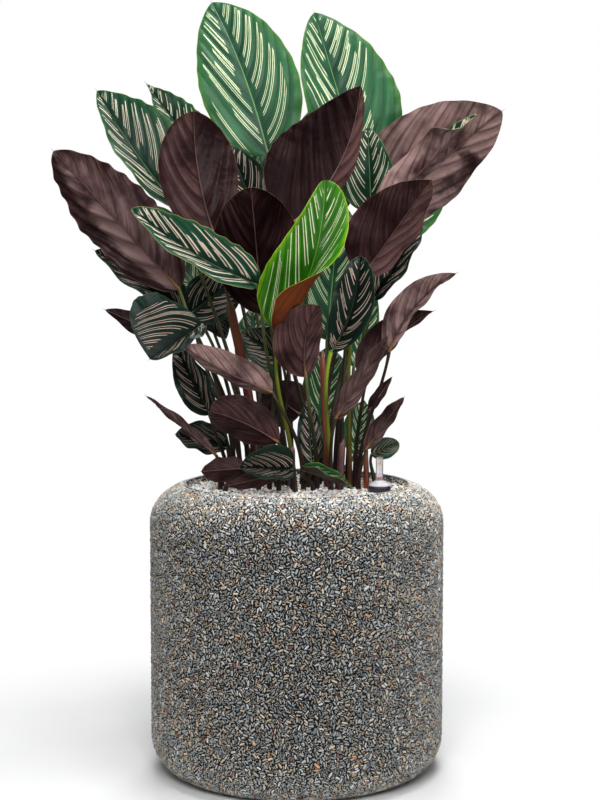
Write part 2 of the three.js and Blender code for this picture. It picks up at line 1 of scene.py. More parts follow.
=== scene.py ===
"""Potted calathea: a pinstripe prayer plant in a barrel planter clad with stone chips.

Sizes are in millimetres in the planter's own frame, +Z up, front towards -Y. They become
metres where a mesh is made. The leaves repeat the settings of the solids that they replace.
"""

import math

import bpy
import numpy as np
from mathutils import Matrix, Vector

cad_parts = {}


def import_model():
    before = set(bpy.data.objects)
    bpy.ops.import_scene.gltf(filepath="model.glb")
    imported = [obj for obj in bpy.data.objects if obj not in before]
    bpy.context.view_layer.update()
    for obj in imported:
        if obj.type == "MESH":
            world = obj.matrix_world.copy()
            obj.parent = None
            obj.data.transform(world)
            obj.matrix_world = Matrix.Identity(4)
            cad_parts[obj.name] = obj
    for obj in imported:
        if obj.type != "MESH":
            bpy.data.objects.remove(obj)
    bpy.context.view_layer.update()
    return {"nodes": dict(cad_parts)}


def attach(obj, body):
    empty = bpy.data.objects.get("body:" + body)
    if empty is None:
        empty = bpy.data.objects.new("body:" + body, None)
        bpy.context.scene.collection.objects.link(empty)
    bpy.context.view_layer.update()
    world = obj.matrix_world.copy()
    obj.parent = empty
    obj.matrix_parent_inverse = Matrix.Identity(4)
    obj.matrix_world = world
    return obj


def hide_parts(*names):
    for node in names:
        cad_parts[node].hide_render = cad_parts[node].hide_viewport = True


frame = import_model()

MM = 0.001
PLANT_BODY = "planted_pot"
FLOAT_BODY = "float"
random = np.random.default_rng(4144)

# ---------------------------------------------------------------- driving dimensions

# Planter: an upright barrel with a rounded shoulder and foot, (width, height) each.
POT_RADIUS = 215
POT_HEIGHT = 423
SHOULDER = (68.5, 57)
FOOT = (46.7, 53.4)
MOUTH_RADIUS = 163
MOUTH_TURN = math.degrees(math.acos((MOUTH_RADIUS - POT_RADIUS + SHOULDER[0]) / SHOULDER[0]))
MOUTH_Z = POT_HEIGHT - SHOULDER[1] + SHOULDER[1] * math.sin(math.radians(MOUTH_TURN))
LIP_DEPTH = 32
LIP_SLOPE = 40
POT_WALL = 12
POT_FLOOR = 14
POT_SIDES = 192
RIM_BEAD = 1.0
RIM_BEAD_INSET = 0.9
PINHOLE = 0.5

# Chips lie flat and side by side: the longest are laid first and the short ones fill the gaps.
# Each round: their length, and how many are thrown on 100 square millimetres.
CHIP_ROUNDS = ((11.5, 0.05), (9.4, 1.0), (8.4, 2), (7.4, 3), (6.6, 4), (5.9, 5), (5.3, 6), (4.7, 7),
               (4.2, 8), (3.7, 10), (3.2, 12), (2.8, 14), (2.4, 14))
CHIP_SLIMNESS = (0.26, 0.5)
CHIP_SQUARENESS = 2.6
CHIP_CORNERS = (0, 52, 128, 180, 232, 308)
CHIP_TOP = (0.3, 0.24)
CHIP_RISE = 0.95
CHIP_USUAL_WIDTH = 1.9
CHIP_TILT = 0.3
CHIP_FOOT = 0.5
CHIP_SINK = (0.75, 1.15)
CHIP_CELL = 0.42
CHIP_BANDS = 11
GROUT_DEPTH = 1.2

SURFACE_Z = 409
ROOT_DEPTH = 22
STEM_CLEAR = 3
GRAIN_PITCH = 3.5
GRAIN_SIZE = (3.0, 6.2)
GRAIN_LAYERS = (-0.4, 1.3)
GRAIN_THINNING = 0.35
GRAIN_CLEAR = 2.5

GAUGE = {
    "x": 120, "y": -30, "ring_bottom": 410.9, "ring_radius": 16.5, "ring_height": 9,
    "pipe_radius": 8, "pipe_depth": 90, "bore": 3.4, "gap": 0.3,
    "cone_radius": 15.5, "cone_height": 8, "tube_radius": 5.4, "tube_wall": 1.2,
    "tube_height": 41, "rod_radius": 1.6, "rod_length": 70, "float_radius": 2.8,
    "float_height": 4.5, "mark_height": 2.2, "mark_drops": (10.8, 7.8), "sides": 64,
}

# Leaves are set out on the upright plane through the planter's axis, as seen from EYE.
EYE = np.array([0.0, -2361.0, 730.0])
BLADE_THICKNESS = 0.8
MARGIN_THINNING = 0.35
ROW_STEP = 2.0
COLUMN_STEP = 3.0
STEM_STEP = 7
STEM_SIDES = 12
RIB_RINGS = 40
RIB_SIDES = 10
SHOOT_RINGS = 26
SHOOT_SIDES = 24
TWIST_SPAN = (0.64, 0.9)
TAPER_PIVOT = 0.38
DRIP_TIP = 6.0
DRIP_TIP_SHARE = 0.035
UPPER = 1
UNDER = -1
PLEAT = {UPPER: 0.05, UNDER: 0.08}

CAMERA_PLACE = (4.8, -2361, 730)
CAMERA_TARGET = (4.8, 0, 542.3)
CAMERA_LENS = 72.86

# Softboxes: place, target, side in metres, power in watts and spread in degrees.
LIGHTS = {
    "front": ((-60, -2350, 2100), (0, 0, 400), 1.2, 45, 180),
    "top": ((200, -400, 2700), (0, 0, 620), 1.0, 36, 180),
    "back": ((0, 2400, 1900), (0, 0, 500), 1.4, 40, 180),
    "left": ((-2300, -1100, 1300), (0, 0, 930), 0.8, 0.6, 26),
    "right": ((2000, -1700, 900), (60, 0, 880), 0.9, 1.8, 26),
}
WORLD_LIGHT = 0.16
FLOOR_RADIUS = 0.4
SURROUND_RADIUS = 2.4
GLOW_RADIUS = 0.9

# ---------------------------------------------------------------- leaves

# What may differ from leaf to leaf. Pairs are for the left and the right half, seen from the front
# with the tip up, if not said otherwise.
#   sway, bow: how far the midrib bends to the left and towards the upper face, as shares of the
#     blade's length
#   cup: how far each half curls, in degrees, down being negative
#   fold_tip, cup_tip: fold and cup at the tip, if not the same; turning: from where to where
#     along the blade they change
#   flare: how much wider a half is where it hasn't turned
#   taper: how much wider it is towards the base, and narrower towards the tip
#   twist: how far the tip is turned over, in degrees
#   round: the outline's exponents at the base and at the tip
#   wave, waves, phase: the margin's amplitude up and down, the number of waves and their start
#   ruffle, frill: how far the margin runs in and out, and its finer waves up and down, as shares
#     of the half's width
#   veins, arch: how steeply the side veins run forward, and how much more so at the margin
#   spacing: from side vein to side vein, as a share of the blade's length
#   pale, pale_reach: how strong the painted highlight on the underside is, and how far out from the
#       midrib
#   stem, neck, sheath: radius of the stem's foot and top, and radius and upper end of its sheath
#   look: the looks of the upper side, the underside and the stem
# The look of leaves low in the shaded interior: darker upper side and stem colours, painted shade.
SHADED = "deep maroon brown"
LEAF_DEFAULTS = dict(
    sway=0, bow=0.05, cup=(-14, -14), fold_tip=None, cup_tip=None, turning=(0, 1), flare=(0, 0),
    taper=(0, 0), twist=0, round=(0.55, 0.85), wave=3.5, waves=2.6, phase=0, ruffle=0.006,
    frill=0.01, veins=(1.1, 1.1), arch=(0.8, 0.8), spacing=(0.16, 0.16), pale=(0.3, 0.3),
    pale_reach=1.0, stem=4.0, neck=2.1, sheath=None, look="fresh maroon olive",
)


def leaf(face, root, base, tip, width, fold, **more):
    """A leaf's settings: the face turned to the front, where the stem leaves the granulate (x, y),
    the base and the tip of the blade (x, z, depth), and the widths and folds of its halves."""
    return {**LEAF_DEFAULTS, **more, "face": face, "root": root, "base": base, "tip": tip,
            "width": width, "fold": fold}


LEAVES = {
    # crown
    "top_left": leaf(
        UPPER, (-8, 68), (-41, 897, 58), (-122, 1114, 122), (71, 77), (10, 12), sway=-0.03,
        round=(0.5, 0.72), wave=3, veins=(2.2, 1.0), arch=(0.2, 0.9), spacing=(0.17, 0.15)),
    "top_right": leaf(
        UPPER, (34, 58), (89, 888, 88), (25, 1100, 152), (60, 88), (38, 6), round=(0.38, 0.76),
        wave=3, phase=1, veins=(2.0, 0.9), arch=(1.2, 0.9), spacing=(0.17, 0.145)),
    "left_high": leaf(
        UPPER, (-72, 32), (-172, 821, 18), (-288, 989, 84), (32, 70), (48, 18), sway=0.02,
        round=(0.6, 0.86), phase=2, veins=(2.2, 1.4), ruffle=0.02, arch=(0.4, 0.6),
        look="mid maroon olive"),
    "left_behind": leaf(
        UPPER, (-50, 48), (-133, 883, 52), (-217, 1000, 112), (26, 42), (58, 26),
        round=(0.6, 1.2), ruffle=0.03, look="mid maroon olive"),
    "left_dark": leaf(
        UNDER, (-60, 8), (-116, 775, -28), (-148, 960, -44), (58, 58), (18, 20), sway=0.05,
        round=(0.7, 0.62), wave=2, sheath=(6.8, 0.76), pale=(0.7, 0.0), pale_reach=0.75,
        look="fresh maroon sheath"),
    "left_big": leaf(
        UNDER, (-82, 12), (-171, 704, -42), (-351, 903, -122), (59, 60), (44, 22),
        round=(0.55, 0.72), wave=4, waves=3, ruffle=0.03, frill=0.04, pale=(1.8, 0.2),
        pale_reach=0.42, look="fresh mauve olive"),
    "centre_big": leaf(
        UNDER, (24, 38), (-16, 792, -18), (92, 996, 4), (99, 36), (6, 58), sway=-0.11,
        round=(0.42, 0.7), wave=2, pale=(0, 1.6), look="fresh wine olive"),
    "centre_dark": leaf(
        UNDER, (-14, 26), (-50, 668, -50), (-66, 851, -86), (64, 64), (22, 18),
        round=(0.6, 0.62), wave=2, pale=(0, 0), look="fresh wine olive"),
    "lime": leaf(
        UPPER, (-4, 6), (-25, 640, -74), (41, 861, -120), (64, 44), (6, 60), fold_tip=(14, 16),
        sway=-0.075, cup=(-12, 120), cup_tip=(-12, -12), turning=(0.25, 0.87), flare=(0, 1.0),
        taper=(1.1, 0), round=(0.5, 0.42), wave=2, veins=(2.3, 1.5), look="lime rust yellow"),
    "centre_gap": leaf(
        UPPER, (-20, 44), (-50, 792, 22), (-98, 912, 28), (42, 42), (20, 30),
        look="deep maroon olive"),
    "right_inner": leaf(
        UPPER, (44, 40), (108, 815, 48), (103, 938, 56), (44, 38), (14, 34), phase=1,
        look="mid maroon olive"),
    "right_big": leaf(
        UNDER, (60, 56), (120, 800, 66), (296, 960, 34), (94, 70), (6, 50), sway=0.02,
        round=(0.46, 0.7), wave=4, phase=2, pale=(0.9, 3.0), look="fresh mauve olive"),
    "right_folded": leaf(
        UNDER, (66, 24), (109, 801, -8), (260, 956, -56), (42, 26), (42, 72), twist=125,
        round=(0.6, 0.8), pale=(1.3, 1.3), look="teal mauve olive"),
    "right_front": leaf(
        UNDER, (78, 2), (95, 722, -66), (195, 862, -130), (62, 44), (16, 54),
        round=(0.5, 0.85), wave=4, phase=1, pale=(0.1, 2.0), look="fresh maroon yellow"),
    "right_striped": leaf(
        UPPER, (76, 46), (112, 688, 24), (184, 800, 56), (42, 25), (34, 60), phase=3,
        look="deep maroon olive"),
    # left side
    "left_striped": leaf(
        UPPER, (-40, -2), (-59, 711, -78), (-239, 820, -116), (30, 46), (64, 34), sway=0.04,
        round=(0.4, 0.62), wave=3, veins=(1.7, 1.5), ruffle=0.03, spacing=(0.13, 0.12),
        look="teal maroon olive"),
    "left_curled": leaf(
        UPPER, (-92, 32), (-161, 671, 34), (-293, 760, 56), (26, 48), (58, 40), phase=1,
        look="deep maroon olive"),
    "left_small_dark": leaf(
        UNDER, (-98, 48), (-162, 622, 50), (-279, 674, 70), (21, 28), (40, 40)),
    "left_round": leaf(
        UPPER, (-82, -12), (-137, 652, -62), (-214, 602, -136), (32, 82), (72, 4),
        round=(0.58, 0.36), wave=3, look=SHADED),
    "left_low_striped": leaf(
        UPPER, (-100, 14), (-127, 521, -6), (-177, 625, 2), (29, 34), (22, 58), phase=2,
        look=SHADED),
    "left_front_dark": leaf(
        UNDER, (10, -10), (-36, 554, -84), (-162, 619, -146), (20, 34), (66, 40), sway=0.03,
        round=(0.32, 0.6), wave=2, pale=(1.6, 0.7), look="deep mauve brown"),
    "low_front_dark": leaf(
        UNDER, (-26, -22), (-27, 480, -62), (-127, 526, -122), (34, 41), (50, 36), sway=-0.04,
        round=(0.45, 0.6), wave=2, look=SHADED),
    "low_left_narrow": leaf(
        UNDER, (-112, -6), (-118, 461, -14), (-220, 548, -40), (6, 16), (64, 60), wave=2,
        look="deep mauve brown"),
    "low_left_striped": leaf(
        UPPER, (-112, 26), (-103, 472, 26), (-178, 492, 40), (25, 36), (58, 40), look=SHADED),
    "low_left_dark": leaf(
        UNDER, (-104, -22), (-71, 442, -30), (-140, 437, -58), (24, 24), (45, 45), look=SHADED),
    "low_front_striped": leaf(
        UPPER, (-2, -32), (-7, 440, -38), (-83, 443, -72), (30, 42), (66, 42),
        round=(0.5, 0.6), wave=2, look=SHADED),
    "low_front_tip": leaf(
        UNDER, (-56, -18), (-32, 431, -50), (-102, 416, -70), (16, 16), (50, 50), wave=1,
        look="fresh maroon brown"),
    "low_right_turned": leaf(
        UPPER, (24, -16), (8, 440, -40), (83, 412, -62), (22, 36), (46, 110), wave=2,
        look="fresh maroon brown"),
    "mid_left_striped": leaf(
        UPPER, (-30, 26), (-24, 603, 26), (-81, 642, 16), (35, 35), (40, 30), look=SHADED),
    "behind_left_a": leaf(
        UPPER, (-64, 58), (-156, 668, 78), (-78, 728, 92), (42, 42), (30, 30), look=SHADED),
    "behind_left_b": leaf(
        UPPER, (-82, 54), (-132, 688, 104), (-103, 632, 96), (26, 26), (30, 36), look=SHADED),
    # right side
    "front_dark": leaf(
        UNDER, (30, 2), (14, 576, -100), (33, 680, -146), (46, 28), (14, 48), sway=0.09,
        round=(0.52, 0.72), wave=2, pale=(1.1, 0.8)),
    "front_striped": leaf(
        UPPER, (50, 4), (50, 613, -60), (92, 752, -112), (32, 31), (30, 30), sway=-0.07,
        round=(0.7, 0.55), wave=3, stem=4.4, neck=2.6, look="deep maroon yellow"),
    "right_low_dark": leaf(
        UNDER, (90, 12), (135, 613, -24), (232, 727, -76), (34, 15), (28, 72), sway=0.085,
        round=(0.55, 0.95), wave=3, pale=(1.3, 2.2), look="deep mauve maroon"),
    "right_low_behind": leaf(
        UNDER, (86, 21), (101, 569, 6), (199, 672, -6), (38, 13), (14, 70), sway=0.085,
        round=(0.55, 0.95), wave=3, phase=2, look=SHADED),
    "right_narrow": leaf(
        UNDER, (50, -12), (57, 515, -60), (133, 636, -108), (24, 22), (58, 56),
        round=(0.36, 0.8), wave=2, look="deep mauve brown"),
    "low_right_dark": leaf(
        UNDER, (90, -6), (102, 470, -36), (157, 546, -80), (22, 13), (54, 54),
        round=(0.36, 0.8), wave=2, look="deep mauve brown"),
    "low_right_narrow": leaf(
        UNDER, (104, 24), (107, 527, 26), (139, 576, 38), (14, 9), (50, 50), wave=1, look=SHADED),
    "low_right_small": leaf(
        UPPER, (116, 32), (110, 462, 36), (150, 479, 20), (18, 16), (30, 30),
        round=(0.6, 0.5), wave=1, look="teal maroon brown"),
    "centre_shaded": leaf(
        UNDER, (8, 50), (5, 521, 53), (-50, 560, 53), (38, 38), (5, 5), look=SHADED),
    "centre_low_striped": leaf(
        UPPER, (16, 18), (22, 446, 14), (16, 545, 22), (20, 20), (20, 20), look=SHADED),
    # back
    "back_left": leaf(
        UPPER, (-36, 72), (-70, 770, 96), (-104, 972, 204), (56, 56), (22, 22)),
    "back_centre": leaf(
        UPPER, (14, 78), (20, 790, 118), (60, 990, 228), (62, 62), (20, 24), phase=1),
    "back_right": leaf(
        UPPER, (58, 74), (116, 770, 116), (206, 900, 232), (56, 56), (24, 20), phase=2),
    "back_far_left": leaf(
        UPPER, (-72, 78), (-140, 700, 122), (-236, 826, 216), (52, 52), (24, 20)),
    "back_middle": leaf(
        UPPER, (38, 86), (44, 630, 140), (62, 830, 246), (58, 58), (20, 20), phase=3),
    "back_right_low": leaf(
        UPPER, (78, 68), (83, 590, 98), (111, 708, 150), (20, 24), (20, 24)),
    "back_left_low": leaf(
        UPPER, (-56, 96), (-52, 556, 130), (-66, 678, 222), (36, 36), (24, 20), phase=2),
    "back_low": leaf(
        UPPER, (20, 104), (34, 500, 142), (50, 622, 240), (38, 38), (20, 20)),
    "back_low_right": leaf(
        UPPER, (62, 94), (84, 462, 104), (98, 542, 146), (26, 26), (24, 20), phase=1),
}

# A rolled young leaf and sheaths: root (x, y), top (x, z, depth), radius at foot and top, look.
SHOOTS = {
    "shoot_red": ((44, 22), (37, 613, 4), (3.4, 4.6), "red"),
    "sheath_front": ((-6, -12), (-6, 474, -14), (5.0, 4.0), "plum"),
    "sheath_middle": ((62, -4), (68, 484, -2), (7.0, 4.6), "plum"),
    "sheath_right": ((102, 3), (101, 466, 2), (4.4, 3.4), "rust"),
}

# ---------------------------------------------------------------- colours, as seen on screen

# Upper side: the stripes' half width in mm, then heart, middle, margin, edge line, stripe and rib.
UPPER_LOOKS = {
    "fresh": (0.44, (30, 66, 47), (40, 89, 55), (50, 101, 36), (110, 134, 56), (206, 214, 174),
              (100, 138, 80)),
    "mid": (0.38, (14, 42, 32), (24, 62, 42), (36, 80, 36), (96, 122, 60), (204, 194, 172),
            (84, 118, 72)),
    "teal": (0.62, (20, 52, 42), (32, 74, 54), (44, 88, 56), (140, 140, 90), (226, 204, 188),
             (128, 126, 86)),
    # The deep look is a darker copy of the green, painted shade for leaves in the shaded interior.
    "deep": (0.24, (7, 20, 16), (12, 34, 26), (20, 46, 34), (62, 76, 50), (190, 164, 150),
             (48, 64, 42)),
    # The lime look is a young yellow-green leaf, brightened further as painted light that stands in for
    # light shining through the thin blade.
    "lime": (0.12, (32, 90, 8), (44, 108, 8), (98, 150, 14), (168, 182, 56), (232, 222, 198),
             (100, 148, 44)),
}
# Underside: its gloss, then the dark and the lit colour, edge line and rib. Mottling and the painted
# highlight streaks mix in the lit colour. The wine look is a darker copy of maroon, painted shade for
# leaves in the plant's shaded middle; the mauve look is a lighter copy, painted light for leaves that
# face the side lights.
UNDER_LOOKS = {
    "wine": (0.04, (22, 8, 9), (92, 64, 62), (84, 56, 44), (72, 44, 38)),
    "maroon": (0.12, (33, 13, 15), (96, 68, 66), (92, 64, 54), (86, 56, 50)),
    "mauve": (0.12, (46, 25, 26), (150, 121, 117), (118, 88, 80), (116, 84, 80)),
    "rust": (0.12, (98, 45, 20), (132, 70, 34), (200, 180, 50), (150, 120, 40)),
}
# Stems and shoots: foot, middle and top.
STEM_LOOKS = {
    "olive": ((34, 20, 16), (46, 44, 26), (84, 92, 46)),
    "yellow": ((66, 42, 20), (104, 108, 30), (150, 172, 48)),
    "sheath": ((50, 24, 18), (92, 44, 30), (70, 62, 34)),
    "maroon": ((30, 14, 14), (40, 20, 20), (54, 26, 24)),
    # brown: a darker copy of olive, painted shade for stems in the shaded interior.
    "brown": ((40, 20, 16), (40, 28, 20), (54, 50, 30)),
}
SHOOT_LOOKS = {
    "red": ((70, 30, 26), (128, 58, 50), (150, 84, 68)),
    "plum": ((50, 28, 30), (76, 48, 52), (128, 92, 88)),
    "rust": ((120, 56, 26), (96, 48, 30), (130, 84, 58)),
}
# Kinds of chips and grains: where each kind begins, as a share of them all, and its colour.
CHIP_KINDS = (
    (0.0, (164, 168, 168)), (0.3, (190, 192, 192)), (0.44, (132, 137, 138)),
    (0.58, (206, 206, 204)), (0.66, (182, 170, 152)), (0.84, (206, 188, 162)),
    (0.955, (204, 160, 126)), (0.98, (150, 98, 80)), (0.985, (220, 218, 214)),
)
GRAIN_KINDS = (
    (0.0, (240, 238, 232)), (0.26, (216, 206, 196)), (0.42, (200, 222, 226)),
    (0.56, (190, 172, 160)), (0.72, (152, 126, 118)), (0.84, (104, 84, 78)),
    (0.93, (250, 250, 250)),
)

# ---------------------------------------------------------------- small helpers


def srgb(red, green, blue):
    """A colour given as it looks on screen, 0 to 255, for a shader."""
    linear = []
    for value in (red, green, blue):
        share = value / 255
        linear.append(share / 12.92 if share <= 0.04045 else ((share + 0.055) / 1.055) ** 2.4)
    return (*linear, 1.0)


def unit(vectors):
    return vectors / np.linalg.norm(vectors, axis=-1, keepdims=True)


def dot(a, b):
    return np.sum(a * b, axis=-1, keepdims=True)


def part_way(first, last, share):
    return first + (last - first) * share


def smooth(value, low, high):
    share = np.clip((value - low) / (high - low), 0, 1)
    return share * share * (3 - 2 * share)


def circle(sides):
    """The angles of a ring's points."""
    return 2 * np.pi * np.arange(sides) / sides


def scatter(number):
    """A fixed random share, 0 to 1, for each number."""
    return (np.sin(number * 12.9898) * 43758.5453) % 1


def placed(x, z, depth):
    """A point of the setting-out plane, moved along the line of sight to its depth."""
    return EYE + (np.array([x, 0.0, z]) - EYE) * (1 - depth / EYE[1])


def grid_faces(rows, columns, wrap=False, flip=False):
    """The quads between rows x columns points; wrap joins the last column to the first."""
    across = columns if wrap else columns - 1
    row, column = np.meshgrid(np.arange(rows - 1), np.arange(across), indexing="ij")
    nearer = row * columns + column
    beside = row * columns + (column + 1) % columns
    faces = np.stack([nearer, beside, beside + columns, nearer + columns], axis=-1).reshape(-1, 4)
    return faces[:, ::-1] if flip else faces


class Shape:
    """Gathers points and faces, with a material for each face and numbers for each point."""

    def __init__(self):
        self.points = []
        self.faces = []
        self.looks = []
        self.fields = {}
        self.count = 0

    def add(self, points, faces, look=0, **fields):
        """Adds points with their faces and fields, and gives the first point's number."""
        points = np.asarray(points, dtype=float).reshape(-1, 3)
        start = self.count
        self.points.append(points)
        self.count += len(points)
        self.add_faces(np.asarray(faces) + start, look)
        for name, values in fields.items():
            whole = np.broadcast_to(np.asarray(values, dtype=float), (len(points),))
            self.fields.setdefault(name, []).append((start, whole))
        return start

    def add_faces(self, faces, look=0):
        """Adds faces between points that are there; look is one for all or one for each."""
        faces = np.asarray(faces, dtype=np.int64)
        self.faces.append(faces)
        self.looks.append(np.full(len(faces), look))

    def add_caps(self, start, rings, sides, look=0):
        """Closes the first and the last ring of a tube."""
        self.add_faces([start + np.arange(sides)[::-1]], look)
        self.add_faces([start + (rings - 1) * sides + np.arange(sides)], look)

    def build(self, name, materials, body=PLANT_BODY, soft=True, crease=None):
        """Makes the object, in metres, and lets it ride on the body."""
        loops = np.concatenate([faces.ravel() for faces in self.faces])
        sizes = np.concatenate([np.full(len(faces), faces.shape[1]) for faces in self.faces])
        mesh = bpy.data.meshes.new(name)
        mesh.vertices.add(self.count)
        mesh.vertices.foreach_set("co", (np.concatenate(self.points) * MM).ravel())
        mesh.loops.add(len(loops))
        mesh.loops.foreach_set("vertex_index", loops)
        mesh.polygons.add(len(sizes))
        mesh.polygons.foreach_set("loop_start", np.cumsum(sizes) - sizes)
        mesh.polygons.foreach_set("material_index", np.concatenate(self.looks))
        mesh.polygons.foreach_set("use_smooth", np.full(len(sizes), soft))
        mesh.update(calc_edges=True)
        for field, parts in self.fields.items():
            values = np.zeros(self.count)
            for start, part in parts:
                values[start:start + len(part)] = part
            mesh.attributes.new(field, "FLOAT", "POINT").data.foreach_set("value", values)
        for material in materials:
            mesh.materials.append(material)
        mesh.validate()
        if crease is not None:
            mesh.set_sharp_from_angle(angle=math.radians(crease))
        piece = bpy.data.objects.new(name, mesh)
        bpy.context.scene.collection.objects.link(piece)
        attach(piece, body)
        return piece


# ---------------------------------------------------------------- shader helpers


class Value:
    """A number or a colour that a node gives. Reckoning with values adds math nodes."""

    def __init__(self, shader, socket):
        self.shader = shader
        self.socket = socket

    def __add__(self, other):
        return self.shader.math("ADD", self, other)

    def __sub__(self, other):
        return self.shader.math("SUBTRACT", self, other)

    def __mul__(self, other):
        return self.shader.math("MULTIPLY", self, other)

    def __gt__(self, other):
        return self.shader.math("GREATER_THAN", self, other)

    def __abs__(self):
        return self.shader.math("ABSOLUTE", self)

    def ramp(self, low, high, start=0.0, end=1.0):
        """Goes softly from start to end as the value goes from low to high."""
        return self.shader.wired("MapRange", (self, low, high, start, end),
                                 interpolation_type="SMOOTHSTEP")


class Shader:
    """A material with a Principled shader, and short calls for the nodes that feed it."""

    def __init__(self, name, **settings):
        self.material = bpy.data.materials.new(name)
        self.material.use_nodes = True
        self.tree = self.material.node_tree
        self.surface = self.tree.nodes["Principled BSDF"]
        for socket, value in settings.items():
            self.set(socket.replace("_", " ").title().replace("Ior", "IOR"), value)

    def set(self, socket, value):
        self.feed(self.surface.inputs[socket], value)

    def feed(self, socket, value):
        if isinstance(value, Value):
            self.tree.links.new(value.socket, socket)
        else:
            socket.default_value = value

    def node(self, kind, **options):
        made = self.tree.nodes.new("ShaderNode" + kind)
        for option, value in options.items():
            setattr(made, option, value)
        return made

    def wired(self, kind, values, **options):
        """A node fed with the values in the order of its sockets; gives its first output."""
        made = self.node(kind, **options)
        for socket, value in zip(made.inputs, values):
            self.feed(socket, value)
        return Value(self, made.outputs[0])

    def math(self, operation, *values):
        return self.wired("Math", values, operation=operation)

    def combine(self, x, y, z=0.0):
        return self.wired("CombineXYZ", (x, y, z))

    def fields(self, *names):
        """The numbers that the mesh holds under these names."""
        nodes = (self.node("Attribute", attribute_name=name) for name in names)
        return [Value(self, node.outputs["Fac"]) for node in nodes]

    def place(self):
        return Value(self, self.node("TexCoord").outputs["Object"])

    def mix(self, share, first, second):
        made = self.node("Mix", data_type="RGBA")
        self.feed(made.inputs["Factor"], share)
        self.feed(made.inputs[6], first)
        self.feed(made.inputs[7], second)
        return Value(self, made.outputs[2])

    def noise(self, scale, detail, vector=None):
        made = self.node("TexNoise")
        self.feed(made.inputs["Vector"], vector or self.place())
        made.inputs["Scale"].default_value = scale
        made.inputs["Detail"].default_value = detail
        made.inputs["Roughness"].default_value = 0.55
        return Value(self, made.outputs["Fac"])

    def split(self, colour):
        """The three numbers in a colour."""
        made = self.node("SeparateColor")
        self.tree.links.new(colour, made.inputs[0])
        return [Value(self, output) for output in made.outputs]

    def chance(self, seed):
        """Three random numbers that stay the same for one seed."""
        made = self.node("TexWhiteNoise", noise_dimensions="1D")
        self.feed(made.inputs["W"], seed)
        return self.split(made.outputs["Color"])

    def kinds(self, value, kinds):
        """The colour of the kind that the value falls in."""
        made = self.node("ValToRGB")
        made.color_ramp.interpolation = "CONSTANT"
        elements = made.color_ramp.elements
        while len(elements) < len(kinds):
            elements.new(0.5)
        for element, (position, colour) in zip(elements, kinds):
            element.position = position
            element.color = srgb(*colour)
        self.feed(made.inputs[0], value)
        return Value(self, made.outputs[0])

    def brighten(self, colour, value):
        made = self.node("HueSaturation")
        self.feed(made.inputs["Color"], colour)
        self.feed(made.inputs["Value"], value)
        return Value(self, made.outputs[0])

    def bump(self, height, distance, strength, normal=None):
        """The normal of a surface with this height, of which 1 stands for distance in metres."""
        made = self.node("Bump")
        self.feed(made.inputs["Height"], height)
        made.inputs["Distance"].default_value = distance
        made.inputs["Strength"].default_value = strength
        if normal is not None:
            self.feed(made.inputs["Normal"], normal)
        return Value(self, made.outputs[0])


# ---------------------------------------------------------------- leaf materials


def between(value, begin, end):
    """1 where the value lies between begin and end."""
    return (value - begin).ramp(-0.012, 0.012) * (value - end).ramp(-0.012, 0.012, 1.0, 0.0)


def on_line(distance, half_width):
    """1 within half a line's width of its middle, with soft edges; in millimetres."""
    return (distance - half_width).ramp(-0.14, 0.16, 1.0, 0.0)


def on_rib(reach, along, half_width):
    """1 on the midrib, which narrows towards the tip."""
    return (reach - (along * (-0.7 * half_width) + half_width)).ramp(-0.25, 0.25, 1.0, 0.0)


def stripes(shader, vein, across, along, thick):
    """1 on the pinstripes, two between one side vein and the next, and the share of the way from
    the one to the other. Where they are far apart, each stripe parts into two fine lines."""
    pitch, = shader.fields("pitch")
    cell = shader.math("FLOOR", vein)
    within = vein - cell
    centred = within - 0.5
    first, second, third = shader.chance(cell * 2.0 + shader.math("SIGN", centred))
    parted = pitch.ramp(13.0, 17.0)
    bold = third.ramp(0.5, 0.65) * 0.2
    width = shader.noise(130, 2) * 0.36 + (parted * -0.14 + thick)
    width = (across * -0.14 + width + bold) * pitch.ramp(3.0, 10.0, 0.1, 1.0)
    from_pair = abs(abs(centred) - 0.165) * pitch
    mask = on_line(abs(parted * -1.2 + from_pair), width)
    short = third > 0.84
    mask = mask * between(across, first * 0.16 + 0.07, second * 0.2 + 0.71 - short * 0.3)
    # In some places a thin third stripe lies between the two.
    early, late, some = shader.chance(cell + 0.37)
    extra = on_line(abs(centred) * pitch, width * 0.8) * (some > 0.62)
    extra = extra * between(across, early * 0.2 + 0.3, late * 0.2 + 0.62)
    mask = shader.math("MAXIMUM", mask, extra)
    return mask * (along.ramp(0.03, 0.08) * along.ramp(0.93, 0.97, 1.0, 0.0)), within


